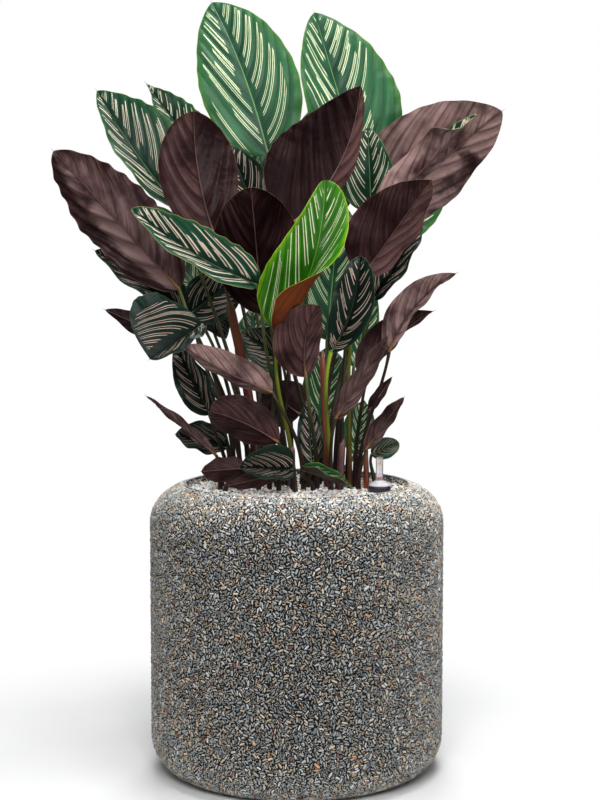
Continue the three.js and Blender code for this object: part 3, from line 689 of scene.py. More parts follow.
def upper_material(name, thick, *colours):
    """Dark along the midrib, with painted shade in the creases and painted highlight on the crests
    between them, stripes and a pale edge line.
    """
    heart, middle, margin, line, stripe, rib = (srgb(*colour) for colour in colours)
    shader = Shader("upper_" + name, roughness=0.4, specular_ior_level=0.18, coat_weight=0.04,
                    coat_roughness=0.15)
    vein, across, along, reach, edge = shader.fields("vein", "across", "along", "reach", "edge")
    cloudy = shader.noise(38, 3)
    colour = shader.mix(across.ramp(0.02, 0.55), heart, middle)
    colour = shader.mix(across.ramp(0.82, 1.0), colour, margin)
    mask, within = stripes(shader, vein, across, along, thick)
    valley = abs(within - 0.5)
    # Painted shade in the creases at the side veins, and painted highlight on the crests between them.
    colour = shader.mix(valley.ramp(0.36, 0.5, 0.0, 0.6), colour, shader.brighten(heart, 0.55))
    colour = shader.mix(valley.ramp(0.0, 0.3, 0.3, 0.0), colour, shader.brighten(middle, 1.35))
    threads = shader.math("COSINE", vein * (2 * math.pi * 9))
    colour = shader.brighten(colour, threads * 0.03 + (cloudy * 0.5 + 0.76))
    colour = shader.mix(mask, colour, stripe)
    colour = shader.mix(edge.ramp(0.4, 1.1, 0.8, 0.0), colour, line)
    colour = shader.mix(on_rib(reach, along, 1.3), colour, rib)
    shader.set("Base Color", colour)
    shader.set("Roughness", cloudy * 0.2 + 0.27)
    height = threads * 0.35 + mask * 0.5 + shader.noise(420, 2)
    shader.set("Normal", shader.bump(height, 0.0003, 0.5))
    return shader.material


def under_material(name, gloss, *colours):
    """Dark, with light fibres along the side veins, painted highlight streaks where the leaf is set
    pale, and painted shade in the creases.
    """
    base, lit, line, rib = (srgb(*colour) for colour in colours)
    shader = Shader("under_" + name, roughness=0.42, specular_ior_level=gloss)
    vein, across, along, reach, edge = shader.fields("vein", "across", "along", "reach", "edge")
    painted_highlight, = shader.fields("pale")
    cloudy = shader.noise(14, 4)
    valley = abs(shader.math("FRACT", vein) - 0.5)
    fibre = shader.noise(1.6, 4, shader.combine(vein * 4.0, across, along))
    light = fibre.ramp(0.35, 0.75) * cloudy.ramp(0.35, 0.7)
    # Painted highlight: streaks of the lit colour where the half is set pale, standing in for side
    # light falling on it.
    highlight_streaks = painted_highlight * cloudy.ramp(0.3, 0.62) * fibre.ramp(0.25, 0.6, 0.45, 1.0)
    light = shader.wired("Math", (light * 0.5, highlight_streaks), operation="ADD", use_clamp=True)
    colour = shader.mix(light, base, lit)
    # Painted shade in the creases at the side veins.
    colour = shader.mix(valley.ramp(0.3, 0.48, 0.0, 0.5), colour, shader.brighten(base, 0.6))
    threads = shader.math("COSINE", vein * (2 * math.pi * 11))
    colour = shader.brighten(colour, threads * 0.025 + 1.0)
    colour = shader.mix(edge.ramp(0.4, 1.2, 0.7, 0.0), colour, line)
    colour = shader.mix(on_rib(reach, along, 0.8), colour, rib)
    shader.set("Base Color", colour)
    shader.set("Roughness", fibre * 0.25 + 0.28)
    dents = shader.bump(shader.noise(70, 2), 0.004, 0.35)
    height = threads * 0.3 + shader.noise(500, 2)
    shader.set("Normal", shader.bump(height, 0.0003, 0.5, dents))
    return shader.material


def stem_material(name, *colours):
    """Three colours from the foot to the top, with streaks along the stem."""
    foot, middle, top = (srgb(*colour) for colour in colours)
    shader = Shader("stem_" + name, roughness=0.38, specular_ior_level=0.35)
    share, turn = shader.fields("share", "turn")
    colour = shader.mix(share.ramp(0.05, 0.4), foot, middle)
    colour = shader.mix(share.ramp(0.5, 0.98), colour, top)
    streaks = shader.noise(1.0, 4, shader.combine(turn * 14.0, share * 5.0))
    shader.set("Base Color", shader.brighten(colour, streaks * 1.1 + 0.45))
    shader.set("Roughness", streaks * 0.25 + 0.26)
    shader.set("Normal", shader.bump(streaks, 0.0006, 0.5))
    return shader.material


def rib_material():
    """The midrib: brown on the leaf's underside, more orange near its base, and green on top."""
    shader = Shader("midrib", roughness=0.4)
    along, turn = shader.fields("along", "turn")
    under = shader.mix(along.ramp(0.0, 0.22), srgb(128, 88, 44), srgb(86, 60, 54))
    colour = shader.mix(turn.ramp(-0.1, 0.4), under, srgb(96, 124, 74))
    colour = shader.mix(along.ramp(0.985, 1.0), colour, srgb(40, 24, 20))
    grain = shader.noise(300, 3)
    shader.set("Base Color", shader.brighten(colour, grain * 0.4 + 0.8))
    shader.set("Normal", shader.bump(grain, 0.0003, 0.4))
    return shader.material


# ---------------------------------------------------------------- leaf form

BLADE_UPPER, BLADE_UNDER, STEM, MIDRIB = range(4)


class Leaf:
    """The form of one leaf, from its settings."""

    def __init__(self, seed, settings):
        self.seed = seed
        for key, value in settings.items():
            setattr(self, key, value)
        self.base = placed(*self.base)
        tip = placed(*self.tip)
        self.length = float(np.linalg.norm(tip - self.base))
        self.axis = unit(tip - self.base)
        view = unit(EYE - (self.base + tip) / 2)
        self.upper = unit(view - self.axis * dot(view, self.axis)) * self.face
        left = np.cross(self.upper, self.axis) * self.face
        self.bend = self.upper * self.bow + left * self.sway
        self.widest = self.round[0] / sum(self.round)
        self.fold_tip = self.fold_tip or self.fold
        self.cup_tip = self.cup_tip or self.cup

    def outline(self, t):
        """The blade's width along its length, 1 at its widest."""
        p, q = self.round
        return (t / self.widest) ** p * ((1 - t) / (1 - self.widest)) ** q

    def frame_at(self, t):
        """Midrib point, its direction, and the upper and left directions, for each t."""
        t = np.atleast_1d(t)[:, None]
        rib = self.base + self.axis * self.length * t + self.bend * self.length * 4 * t * (1 - t)
        along = unit(self.axis + self.bend * 4 * (1 - 2 * t))
        upper = unit(self.upper - along * dot(along, self.upper))
        left = np.cross(upper, along) * self.face
        turn = math.radians(self.twist) * smooth(t, *TWIST_SPAN)
        turned_upper = upper * np.cos(turn) + left * np.sin(turn)
        turned_left = left * np.cos(turn) - upper * np.sin(turn)
        return rib, along, turned_upper, turned_left

    def half(self, side, t, across):
        """Middle surface and normals of one half, with the numbers that its pattern reads."""
        index = 0 if side > 0 else 1
        rib, _, upper, left = (v[:, None, :] for v in self.frame_at(t))
        t = t[:, None]
        a = across[None, :]
        turned = smooth(t, *self.turning)
        start = np.radians(part_way(self.fold[index], self.fold_tip[index], turned))
        curl = np.radians(part_way(self.cup[index], self.cup_tip[index], turned)) + 1e-6
        width = self.width[index] * self.outline(t) * (1 + self.flare[index] * (1 - turned) ** 2)
        width = width * (1 + self.taper[index] * (TAPER_PIVOT - t))
        ruffle = np.sin(2 * np.pi * (3.2 * self.waves * t) + self.phase * 3 + index)
        width = width * (1 + self.ruffle * ruffle)
        angle = start + curl * a
        out = width * (np.sin(angle) - np.sin(start)) / curl
        up = width * (np.cos(start) - np.cos(angle)) / curl
        normal = -side * np.sin(angle)[..., None] * left + np.cos(angle)[..., None] * upper
        reach = width * a
        slope = self.veins[index] * (0.6 + 0.8 * t)
        arch = self.arch[index] * (0.5 + t) * reach / self.width[index]
        spacing = self.spacing[index] * self.length
        vein = (self.length * t - reach * (slope + arch)) / spacing
        lift = self.relief(index, t, a, vein, spacing)
        point = rib + left * (side * out)[..., None] + upper * up[..., None] + normal * lift[..., None]
        shape = point.shape[:2]
        faded = smooth(a, self.pale_reach + 0.25, self.pale_reach)
        numbers = {
            "vein": vein + 23 * index + 61 * self.seed,
            "across": np.broadcast_to(a, shape), "along": np.broadcast_to(t, shape),
            "reach": reach, "edge": width * (1 - a),
            "pitch": spacing / np.sqrt(1 + (slope + 2 * arch) ** 2),
            # pale: how much painted highlight this half carries
            "pale": self.pale[index] * smooth(reach, 0, 5) * faded,
        }
        return point, normal, numbers

    def relief(self, index, t, a, vein, spacing):
        """How far waves, pleats and frill lift the surface off its smooth form."""
        ends = np.sqrt(4 * t * (1 - t))
        ripple = np.sin(2 * np.pi * self.waves * t + self.phase + index * 1.7)
        lift = self.wave * a ** 1.5 * ripple * ends
        strength = 0.55 + 0.9 * scatter(np.floor(vein) + 31 * self.seed + 7 * index)
        pleat = 2 * np.abs(np.sin(np.pi * vein)) ** 0.8 * strength - 1
        lift = lift + PLEAT[self.face] * spacing * pleat * np.sin(np.pi * a) ** 0.8 * ends ** 0.7
        frill = np.sin(2 * np.pi * self.waves * 3.3 * t + self.phase * 2 + index)
        return lift + self.frill * self.width[index] * a ** 4 * frill * ends

    def stem_path(self, count):
        """Points and directions of the stem, from its foot to the blade."""
        foot = np.array([*self.root, SURFACE_Z + STEM_CLEAR], dtype=float)
        rise = np.linalg.norm(self.base - foot)
        arrival = unit(self.frame_at(0.0)[1][0] * 0.6 + np.array([0, 0, 0.8]))
        lower = foot + np.array([0, 0, 0.4 * rise])
        upper = self.base - arrival * 0.33 * rise
        share = np.linspace(0, 1, count)[:, None]
        rest = 1 - share
        points = (rest ** 3 * foot + 3 * rest ** 2 * share * lower
                  + 3 * rest * share ** 2 * upper + share ** 3 * self.base)
        slopes = (rest ** 2 * (lower - foot) + 2 * rest * share * (upper - lower)
                  + share ** 2 * (self.base - upper))
        return points, unit(slopes), share[:, 0]

    def stem_radius(self, share):
        """Thick at the foot, and a little thicker again just under the blade."""
        radius = part_way(self.neck, self.stem, (1 - share) ** 1.5)
        if self.sheath:
            wide, end = self.sheath
            radius = part_way(radius, wide, smooth(share, end, end - 0.06))
        return radius + 0.45 * smooth(share, 0.9, 0.97)


def blade(shape, leaf):
    """Both faces of the blade, closed along the margin."""
    rows = int(np.clip(leaf.length / ROW_STEP, 36, 110))
    columns = int(np.clip(max(leaf.width) / COLUMN_STEP, 10, 30))
    t = (1 - np.cos(np.pi * np.arange(1, rows) / rows)) / 2
    across = np.linspace(0, 1, columns) ** 0.9
    for side in (1, -1):
        point, normal, numbers = leaf.half(side, t, across)
        thinning = 1 - MARGIN_THINNING * across[None, :, None] ** 6
        half_thickness = BLADE_THICKNESS / 2 * thinning
        flat = {name: values.ravel() for name, values in numbers.items()}
        outward = (side > 0) == (leaf.face == UPPER)
        faces = grid_faces(len(t), columns, flip=outward)
        top = shape.add(point + normal * half_thickness, faces, BLADE_UPPER, **flat)
        bottom = shape.add(point - normal * half_thickness, faces[:, [0, 3, 2, 1]], BLADE_UNDER, **flat)
        margin = np.arange(len(t) - 1) * columns + columns - 1
        strip = np.stack([top + margin, top + margin + columns,
                          bottom + margin + columns, bottom + margin], axis=-1)
        shape.add_faces(strip if outward else strip[:, ::-1], BLADE_UPPER)
        for row, end in ((0, 0.0), (len(t) - 1, 1.0)):
            start = row * columns + np.arange(columns)
            ring = np.concatenate([top + start, (bottom + start)[::-1]])
            close_end(shape, leaf, ring, end, outward)


def close_end(shape, leaf, ring, end, outward):
    """Joins the points round the blade's first or last row to the midrib's end."""
    apex = shape.add(leaf.frame_at(end)[0], np.empty((0, 3), dtype=int), along=end, edge=0.6)
    fan = np.stack([ring[:-1], ring[1:], np.full(len(ring) - 1, apex)], axis=-1)
    flip = outward != (end == 0.0)
    shape.add_faces(fan[:, ::-1] if flip else fan, BLADE_UPPER)


def tube(shape, centres, directions, first_side, radii, sides, look, facing=1, **fields):
    """A closed tube through the centres; its rings don't twist. Its turn is 0 on the first side
    and on the one opposite, and facing and -facing in between. Fields are given ring by ring."""
    side = first_side
    turns = circle(sides)
    rings = []
    for centre, direction, radius in zip(centres, directions, radii):
        side = unit(side - direction * dot(side, direction))
        other = np.cross(direction, side)
        around = np.cos(turns)[:, None] * side + np.sin(turns)[:, None] * other
        rings.append(centre + around * radius)
    count = len(rings)
    repeated = {name: np.repeat(values, sides) for name, values in fields.items()}
    start = shape.add(np.concatenate(rings), grid_faces(count, sides, wrap=True), look,
                      turn=np.tile(np.sin(turns) * facing, count), **repeated)
    shape.add_caps(start, count, sides, look)


def add_stem(shape, leaf):
    """The stem: upright in its hole, then in a curve to the blade."""
    rise = np.linalg.norm(leaf.base - np.array([*leaf.root, SURFACE_Z]))
    points, slopes, share = leaf.stem_path(int(np.clip(rise / STEM_STEP, 10, 60)))
    foot = points[0] - np.array([0, 0, ROOT_DEPTH + STEM_CLEAR])
    centres = np.vstack([foot, points])
    directions = np.vstack([[0, 0, 1], slopes])
    shares = np.concatenate([[0], share])
    first_side = leaf.frame_at(0.0)[3][0]
    tube(shape, centres, directions, first_side, leaf.stem_radius(shares), STEM_SIDES, STEM,
         share=shares)


def add_midrib(shape, leaf):
    """The midrib, with the drip tip beyond the blade."""
    t = np.linspace(0, 1, RIB_RINGS) ** 1.1
    rib, along, upper, left = leaf.frame_at(t)
    radius = leaf.neck * (0.45 * (1 - t) + 0.55 * (1 - smooth(t, 0, 0.12))) + 0.3
    centres = rib - upper * (radius * 0.5 * smooth(t, 0, 0.04))[:, None]
    drip = min(DRIP_TIP, DRIP_TIP_SHARE * leaf.length)
    centres = np.vstack([centres, centres[-1] + along[-1] * drip])
    directions = np.vstack([along, along[-1:]])
    # Turn is 1 on the side of the leaf's upper face.
    tube(shape, centres, directions, left[0], np.append(radius, 0.12), RIB_SIDES, MIDRIB,
         facing=leaf.face, along=np.append(t, 1.0))


def leaf_piece(name, leaf):
    shape = Shape()
    blade(shape, leaf)
    add_stem(shape, leaf)
    add_midrib(shape, leaf)
    upper, under, stem = leaf.look.split()
    materials = [UPPER_MATERIALS[upper], UNDER_MATERIALS[under], STEM_MATERIALS[stem], RIB_MATERIAL]
    piece = shape.build("fine_leaf_" + name, materials, crease=60)
    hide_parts("leaf_" + name)
    upper_slot = "leaf_lime" if upper == "lime" else "leaf_upper"


def shoot_piece(name, root, top, radii, look):
    """A leaf rolled round itself: the overlap runs up it in a spiral step."""
    shape = Shape()
    foot = np.array([*root, SURFACE_Z + STEM_CLEAR], dtype=float)
    shares = np.linspace(0, 1, SHOOT_RINGS)
    centres = part_way(foot, placed(*top), shares[:, None])
    centres = np.vstack([foot - np.array([0, 0, ROOT_DEPTH + STEM_CLEAR]), centres])
    shares = np.concatenate([[0], shares])
    turns = circle(SHOOT_SIDES)
    rings = []
    for centre, share in zip(centres, shares):
        size = part_way(*radii, share) * (1 - 0.55 * smooth(share, 0.9, 1.0))
        step = ((turns + 1.3 * share) % (2 * np.pi)) / (2 * np.pi)
        around = size * (0.86 + 0.14 * step)
        slant = radii[1] * 0.8 * np.cos(turns) * smooth(share, 0.93, 1.0)
        ring = np.stack([np.cos(turns) * around, np.sin(turns) * around, slant], axis=-1)
        rings.append(centre + ring)
    count = len(rings)
    start = shape.add(np.concatenate(rings), grid_faces(count, SHOOT_SIDES, wrap=True), 0,
                      share=np.repeat(shares, SHOOT_SIDES), turn=np.tile(np.sin(turns), count))
    shape.add_caps(start, count, SHOOT_SIDES)
    piece = shape.build("fine_" + name, [stem_material(name, *SHOOT_LOOKS[look])], crease=50)
    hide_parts(name)


# ---------------------------------------------------------------- planter


def arc(centre, radii, first, last, count=24):
    turn = np.radians(np.linspace(first, last, count))
    return np.stack([centre[0] + radii[0] * np.cos(turn), centre[1] + radii[1] * np.sin(turn)], axis=-1)


def outer_profile():
    """The barrel's outside, from the edge of its flat underside to its mouth: radius, height."""
    foot = arc((POT_RADIUS - FOOT[0], FOOT[1]), FOOT, -90, 0)
    shoulder_base = POT_HEIGHT - SHOULDER[1]
    shoulder = arc((POT_RADIUS - SHOULDER[0], shoulder_base), SHOULDER, 0, MOUTH_TURN)
    heights = np.linspace(FOOT[1], shoulder_base, 20)[1:-1]
    middle = np.stack([np.full(len(heights), POT_RADIUS), heights], axis=-1)
    return np.vstack([foot, middle, shoulder])


def lathe(shape, profile, sides, x=0, y=0, look=0, closed=False):
    """Turns a profile of (radius, height) about an upright axis; closed joins its ends."""
    profile = np.asarray(profile, dtype=float)
    if closed:
        profile = np.vstack([profile, profile[:1]])
    turns = circle(sides)
    radius, height = profile[:, :1], profile[:, 1:]
    points = np.stack([x + radius * np.cos(turns), y + radius * np.sin(turns),
                       np.broadcast_to(height, (len(profile), sides))], axis=-1)
    return shape.add(points, grid_faces(len(profile), sides, wrap=True), look)


def grout_material():
    shader = Shader("grout", roughness=0.9)
    fine = shader.noise(700, 4)
    shader.set("Base Color", shader.mix(fine.ramp(0.35, 0.7), srgb(6, 7, 8), srgb(20, 20, 20)))
    shader.set("Normal", shader.bump(fine, 0.001, 0.8))
    return shader.material


def chip_material():
    shader = Shader("stone_chips", roughness=0.7, specular_ior_level=0.25)
    kind, tone = shader.fields("kind", "tone")
    fine = shader.noise(900, 4)
    value = tone * 0.7 + 0.54 + fine * 0.4
    shader.set("Base Color", shader.brighten(shader.kinds(kind, CHIP_KINDS), value))
    shader.set("Roughness", fine * 0.4 + 0.42)
    shader.set("Normal", shader.bump(fine, 0.0008, 0.5))
    return shader.material


def run_of(profile):
    """How far each point of a profile is along it."""
    steps = np.linalg.norm(np.diff(profile, axis=0), axis=1)
    return np.concatenate([[0], np.cumsum(steps)])


def strewn(profile):
    """Packs chips on a turned surface without overlaps: turn, place along the profile, heading,
    length and width of each. Every round throws chips of one length about at random, and those
    stay that land on free cells only."""
    travelled = run_of(profile)
    length = travelled[-1]
    around = 2 * math.pi * profile[:, 0].max()
    rows, columns = math.ceil(length / CHIP_CELL), math.ceil(around / CHIP_CELL)
    taken = np.zeros(rows * columns, dtype=bool)
    kept = []
    for long, thrown in CHIP_ROUNDS:
        count = int(around * length * thrown / 100)
        turn = random.uniform(0, 2 * np.pi, count)
        slid = random.uniform(0, length, count)
        heading = random.uniform(0, np.pi, count)
        wide = long * random.uniform(*CHIP_SLIMNESS, count)
        # The cells under each chip.
        x = np.linspace(-0.5, 0.5, max(4, int(long / CHIP_CELL) + 1)) * long
        x, y = (v.ravel() for v in np.meshgrid(x, np.linspace(-0.5, 0.5, 6), indexing="ij"))
        inside = np.abs(2 * x / long) ** CHIP_SQUARENESS + np.abs(2 * y) ** CHIP_SQUARENESS <= 1.0
        x, y = x[inside], y[inside]
        across = y[None] * wide[:, None]
        cos, sin = np.cos(heading)[:, None], np.sin(heading)[:, None]
        radius = np.interp(slid, travelled, profile[:, 0])[:, None]
        place_turn = turn[:, None] + (x * cos - across * sin) / radius
        place_slid = slid[:, None] + x * sin + across * cos
        column = np.floor(place_turn / (2 * np.pi) * columns).astype(int) % columns
        row = np.floor(place_slid / CHIP_CELL).astype(int)
        within = ((row >= 0) & (row < rows)).all(axis=1)
        cells = np.clip(row, 0, rows - 1) * columns + column
        # Of the chips of one round that want a cell, the first gets it.
        free = within & ~taken[cells].any(axis=1)
        order = np.full(rows * columns, count)
        index = np.broadcast_to(np.arange(count)[:, None], cells.shape)
        np.minimum.at(order, cells[free].ravel(), index[free].ravel())
        won = free & (order[cells] == index).all(axis=1)
        taken[cells[won].ravel()] = True
        kept.append(np.stack([turn, slid, heading, np.full(count, long), wide], axis=-1)[won])
    return np.vstack(kept).T


def chip_axes(profile, turn, slid, heading, facing):
    """Each chip's middle on a turned surface, and its long, cross and outward directions."""
    travelled = run_of(profile)
    ahead, behind = np.minimum(slid + 0.5, travelled[-1]), np.maximum(slid - 0.5, 0)
    (radius, height), further, nearer = (
        [np.interp(where, travelled, profile[:, k]) for k in (0, 1)] for where in (slid, ahead, behind))
    outward = np.stack([np.cos(turn), np.sin(turn), np.zeros(len(turn))], axis=-1)
    upward = np.array([0.0, 0.0, 1.0])
    normals = unit(outward * (further[1] - nearer[1])[:, None]
                   - upward * (further[0] - nearer[0])[:, None])
    round_about = np.stack([-np.sin(turn), np.cos(turn), np.zeros(len(turn))], axis=-1)
    uphill = np.cross(normals, round_about)
    along = round_about * np.cos(heading)[:, None] + uphill * np.sin(heading)[:, None]
    normals = normals * facing
    centres = outward * radius[:, None] + upward * height[:, None]
    return centres, along, np.cross(normals, along), normals


def lay_chips(name, profile, chips, facing, material):
    """Chips on a turned surface: six-cornered, with a flat top, their undersides sunk in the grout."""
    turn, slid, heading, long, wide = chips
    count = len(turn)
    centres, along, side, normals = chip_axes(profile, turn, slid, heading, facing)
    centres = centres - normals * random.uniform(*CHIP_SINK, count)[:, None] * GROUT_DEPTH
    thickness = np.clip(wide / CHIP_USUAL_WIDTH, 0.7, 1.2)
    rise = CHIP_RISE * random.uniform(0.7, 1.15, count) * thickness
    # Six corners of the underside, then four of the top.
    corners = np.radians(CHIP_CORNERS) + random.uniform(-0.2, 0.2, (count, 6))
    spread = random.uniform(0.84, 1.0, (count, 6))
    rim_x = np.cos(corners) * spread * long[:, None] / 2
    rim_y = np.sin(corners) * spread * wide[:, None] / 2 * 1.04
    ends_x, ends_y = np.array([1, -1, -1, 1]), np.array([1, 1, -1, -1])
    top_x = (ends_x * CHIP_TOP[0] + random.uniform(-0.05, 0.05, (count, 4))) * long[:, None]
    top_y = (ends_y * CHIP_TOP[1] + random.uniform(-0.06, 0.06, (count, 4))) * wide[:, None]
    tilt = random.uniform(-CHIP_TILT, CHIP_TILT, (count, 2))
    top_z = rise[:, None] * (1 + tilt[:, :1] * ends_x + tilt[:, 1:] * ends_y)
    x = np.hstack([rim_x, top_x])[..., None]
    y = np.hstack([rim_y, top_y])[..., None]
    z = np.hstack([np.full((count, 6), -CHIP_FOOT), top_z])[..., None]
    points = centres[:, None] + along[:, None] * x + side[:, None] * y + normals[:, None] * z
    # The chips near the mouth are lighter: painted light, standing in for the light from above.
    painted_top_light = smooth(centres[:, 2], POT_HEIGHT - SHOULDER[1], POT_HEIGHT)
    tone = random.random(count) + 0.8 * painted_top_light
    kind = random.random(count)
    first = np.arange(count)[:, None, None] * 10
    ends = np.array([[0, 1, 6], [2, 3, 7], [3, 8, 7], [3, 4, 8], [5, 0, 9], [0, 6, 9]])
    slopes = np.array([[1, 2, 7, 6], [4, 5, 9, 8], [6, 7, 8, 9]])
    beneath = np.array([[5, 4, 3, 2, 1, 0]])
    shape = Shape()
    shape.add(points, (ends + first).reshape(-1, 3), kind=np.repeat(kind, 10),
              tone=np.repeat(tone, 10))
    shape.add_faces((slopes + first).reshape(-1, 4))
    shape.add_faces((beneath + first).reshape(-1, 6))
    shape.build("chips_" + name, [material], crease=32)


def planter():
    """The shell, set back by the grout's depth, with a bead round its mouth, and its chips."""
    outer = outer_profile()
    steps = np.gradient(outer, axis=0)
    normals = unit(np.stack([steps[:, 1], -steps[:, 0]], axis=-1))
    bare = outer - normals * GROUT_DEPTH
    bare[:, 1] = np.maximum(bare[:, 1], 0.0)
    lip = MOUTH_RADIUS + GROUT_DEPTH
    bare[-1] = [lip + 0.6, MOUTH_Z - 0.6]
    inner = POT_RADIUS - POT_WALL
    lip_end = MOUTH_Z - LIP_DEPTH
    inside = [[lip, MOUTH_Z - 1.5], [lip, lip_end], [inner, lip_end - LIP_SLOPE], [inner, FOOT[1]],
              [POT_RADIUS - FOOT[0], POT_FLOOR], [PINHOLE, POT_FLOOR]]
    profile = np.vstack([[[PINHOLE, 0]], bare, inside])
    shape = Shape()
    start = lathe(shape, profile, POT_SIDES)
    shape.add_caps(start, len(profile), POT_SIDES)
    turns = np.radians(np.arange(0, 360, 30))
    bead = np.stack([MOUTH_RADIUS + RIM_BEAD_INSET + RIM_BEAD * np.cos(turns),
                     MOUTH_Z - RIM_BEAD_INSET + RIM_BEAD * np.sin(turns)], axis=-1)
    lathe(shape, bead[::-1], POT_SIDES, look=1, closed=True)
    # The bead is pale grey: partly the smooth lip, partly painted highlight standing in for the top
    # light catching the lip.
    edge = plastic("rim_bead_highlight", (168, 166, 164), 0.6)
    shell = shape.build("planter_shell", [grout_material(), edge], crease=50)
    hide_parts("pot")
    material = chip_material()
    clad = outer[outer[:, 1] > 1.0]
    chips = strewn(clad)
    cuts = np.linspace(0, run_of(clad)[-1], CHIP_BANDS + 1)
    for band, (low, high) in enumerate(zip(cuts, cuts[1:])):
        within = (chips[1] >= low) & (chips[1] < high)
        lay_chips(f"band_{band + 1}", clad, chips[:, within], 1, material)
    wall = np.array([[MOUTH_RADIUS, SURFACE_Z - 3.0], [MOUTH_RADIUS, MOUTH_Z - 2.5]])
    lay_chips("mouth", wall, strewn(wall), -1, material)


# ---------------------------------------------------------------- granulate


def granulate_material(name, loose):
    """Grains of several kinds: each loose grain has its own, and cells stand for the rest."""
    shader = Shader(name, roughness=0.8)
    fine = shader.noise(800, 4)
    if loose:
        kind, tone = shader.fields("kind", "tone")
    else:
        cells = shader.node("TexVoronoi")
        cells.inputs["Scale"].default_value = 240
        shader.feed(cells.inputs["Vector"], shader.place())
        kind, tone, _ = shader.split(cells.outputs["Color"])
    value = tone * 0.6 + (0.8 if loose else 0.0) + fine * 0.4
    shader.set("Base Color", shader.brighten(shader.kinds(kind, GRAIN_KINDS), value))
    shader.set("Normal", shader.bump(fine, 0.0008, 0.6))
    return shader.material


def icosahedron():
    """Twelve points at one distance from the middle, and the twenty faces between them."""
    golden = (1 + 5 ** 0.5) / 2
    points = []
    for a in (-1, 1):
        for b in (-golden, golden):
            points += [(0, a, b), (a, b, 0), (b, 0, a)]
    points = unit(np.array(points))
    faces = []
    for i in range(12):
        for j in range(i + 1, 12):
            for k in range(j + 1, 12):
                trio = points[[i, j, k]]
                if max(np.linalg.norm(trio - np.roll(trio, 1, axis=0), axis=1)) < 1.1:
                    normal = np.cross(trio[1] - trio[0], trio[2] - trio[0])
                    faces.append((i, j, k) if dot(normal, trio[0]) > 0 else (i, k, j))
    return points, np.array(faces)


def grain_places():
    """Where the loose grains lie: two layers, the upper one thinner, clear of the gauge."""
    limit = MOUTH_RADIUS - GRAIN_CLEAR
    row_step = GRAIN_PITCH * math.sqrt(3) / 2
    places = []
    for layer, height in enumerate(GRAIN_LAYERS):
        wider = 1 + GRAIN_THINNING * layer
        for index, y in enumerate(np.arange(-limit, limit, row_step * wider)):
            x = np.arange(-limit, limit, GRAIN_PITCH * wider) + (index % 2) * GRAIN_PITCH / 2
            places.append(np.stack([x, np.full_like(x, y), np.full_like(x, height)], axis=-1))
    centres = np.vstack(places)
    centres[:, :2] += random.uniform(-0.42, 0.42, (len(centres), 2)) * GRAIN_PITCH
    centres[:, 2] += SURFACE_Z + random.uniform(-0.5, 0.5, len(centres))
    from_axis = np.hypot(centres[:, 0], centres[:, 1])
    from_gauge = np.hypot(centres[:, 0] - GAUGE["x"], centres[:, 1] - GAUGE["y"])
    return centres[(from_axis < limit) & (from_gauge > GAUGE["ring_radius"] + 0.5)]


def grains():
    """Loose grains, each an uneven twenty-faced lump, all over the granulate's top."""
    unit_points, unit_faces = icosahedron()
    centres = grain_places()
    count = len(centres)
    size = part_way(*GRAIN_SIZE, random.random(count) ** 1.6)
    stretch = random.uniform(0.72, 1.2, (count, 1, 3)) * size[:, None, None] / 2
    turn = random.uniform(0, 2 * np.pi, count)
    local = unit_points[None] * stretch * random.uniform(0.86, 1.12, (count, 12, 1))
    cos, sin = np.cos(turn)[:, None], np.sin(turn)[:, None]
    turned = np.stack([local[..., 0] * cos - local[..., 1] * sin,
                       local[..., 0] * sin + local[..., 1] * cos, local[..., 2]], axis=-1)
    shape = Shape()
    faces = (unit_faces[None] + 12 * np.arange(count)[:, None, None]).reshape(-1, 3)
    kind, tone = (np.repeat(random.random(count), 12) for _ in range(2))
    shape.add(turned + centres[:, None], faces, kind=kind, tone=tone)
    piece = shape.build("granulate_grains", [granulate_material("grains", True)], soft=False)


# ---------------------------------------------------------------- watering gauge


def plastic(name, colour, roughness):
    """Plain plastic, slightly cloudy, in a colour as seen on screen."""
    shader = Shader(name, roughness=roughness)
    colour = srgb(*colour)
    darker = tuple(c * 0.82 for c in colour[:3]) + (1.0,)
    fine = shader.noise(260, 3)
    shader.set("Base Color", shader.mix(fine.ramp(0.3, 0.7), colour, darker))
    shader.set("Roughness", fine * 0.18 + (roughness - 0.08))
    return shader.material


def clear_plastic(name):
    shader = Shader(name, roughness=0.08, alpha=0.08)
    shader.set("Base Color", shader.mix(shader.noise(120, 3), srgb(252, 252, 254), srgb(238, 240, 244)))
    return shader.material


def curved_plate(shape, x, y, turn, radii, heights, look):
    """Part of a thin upright cylinder wall, closed all round."""
    corners = [(radii[0], heights[0]), (radii[1], heights[0]), (radii[1], heights[1]),
               (radii[0], heights[1])]
    points = np.stack([np.stack([x + r * np.cos(turn), y + r * np.sin(turn), np.full(len(turn), z)],
                                axis=-1) for r, z in corners], axis=1)
    start = shape.add(points, grid_faces(len(turn), 4, wrap=True, flip=True), look)
    shape.add_faces([start + np.arange(4)], look)
    shape.add_faces([start + (len(turn) - 1) * 4 + np.arange(4)[::-1]], look)


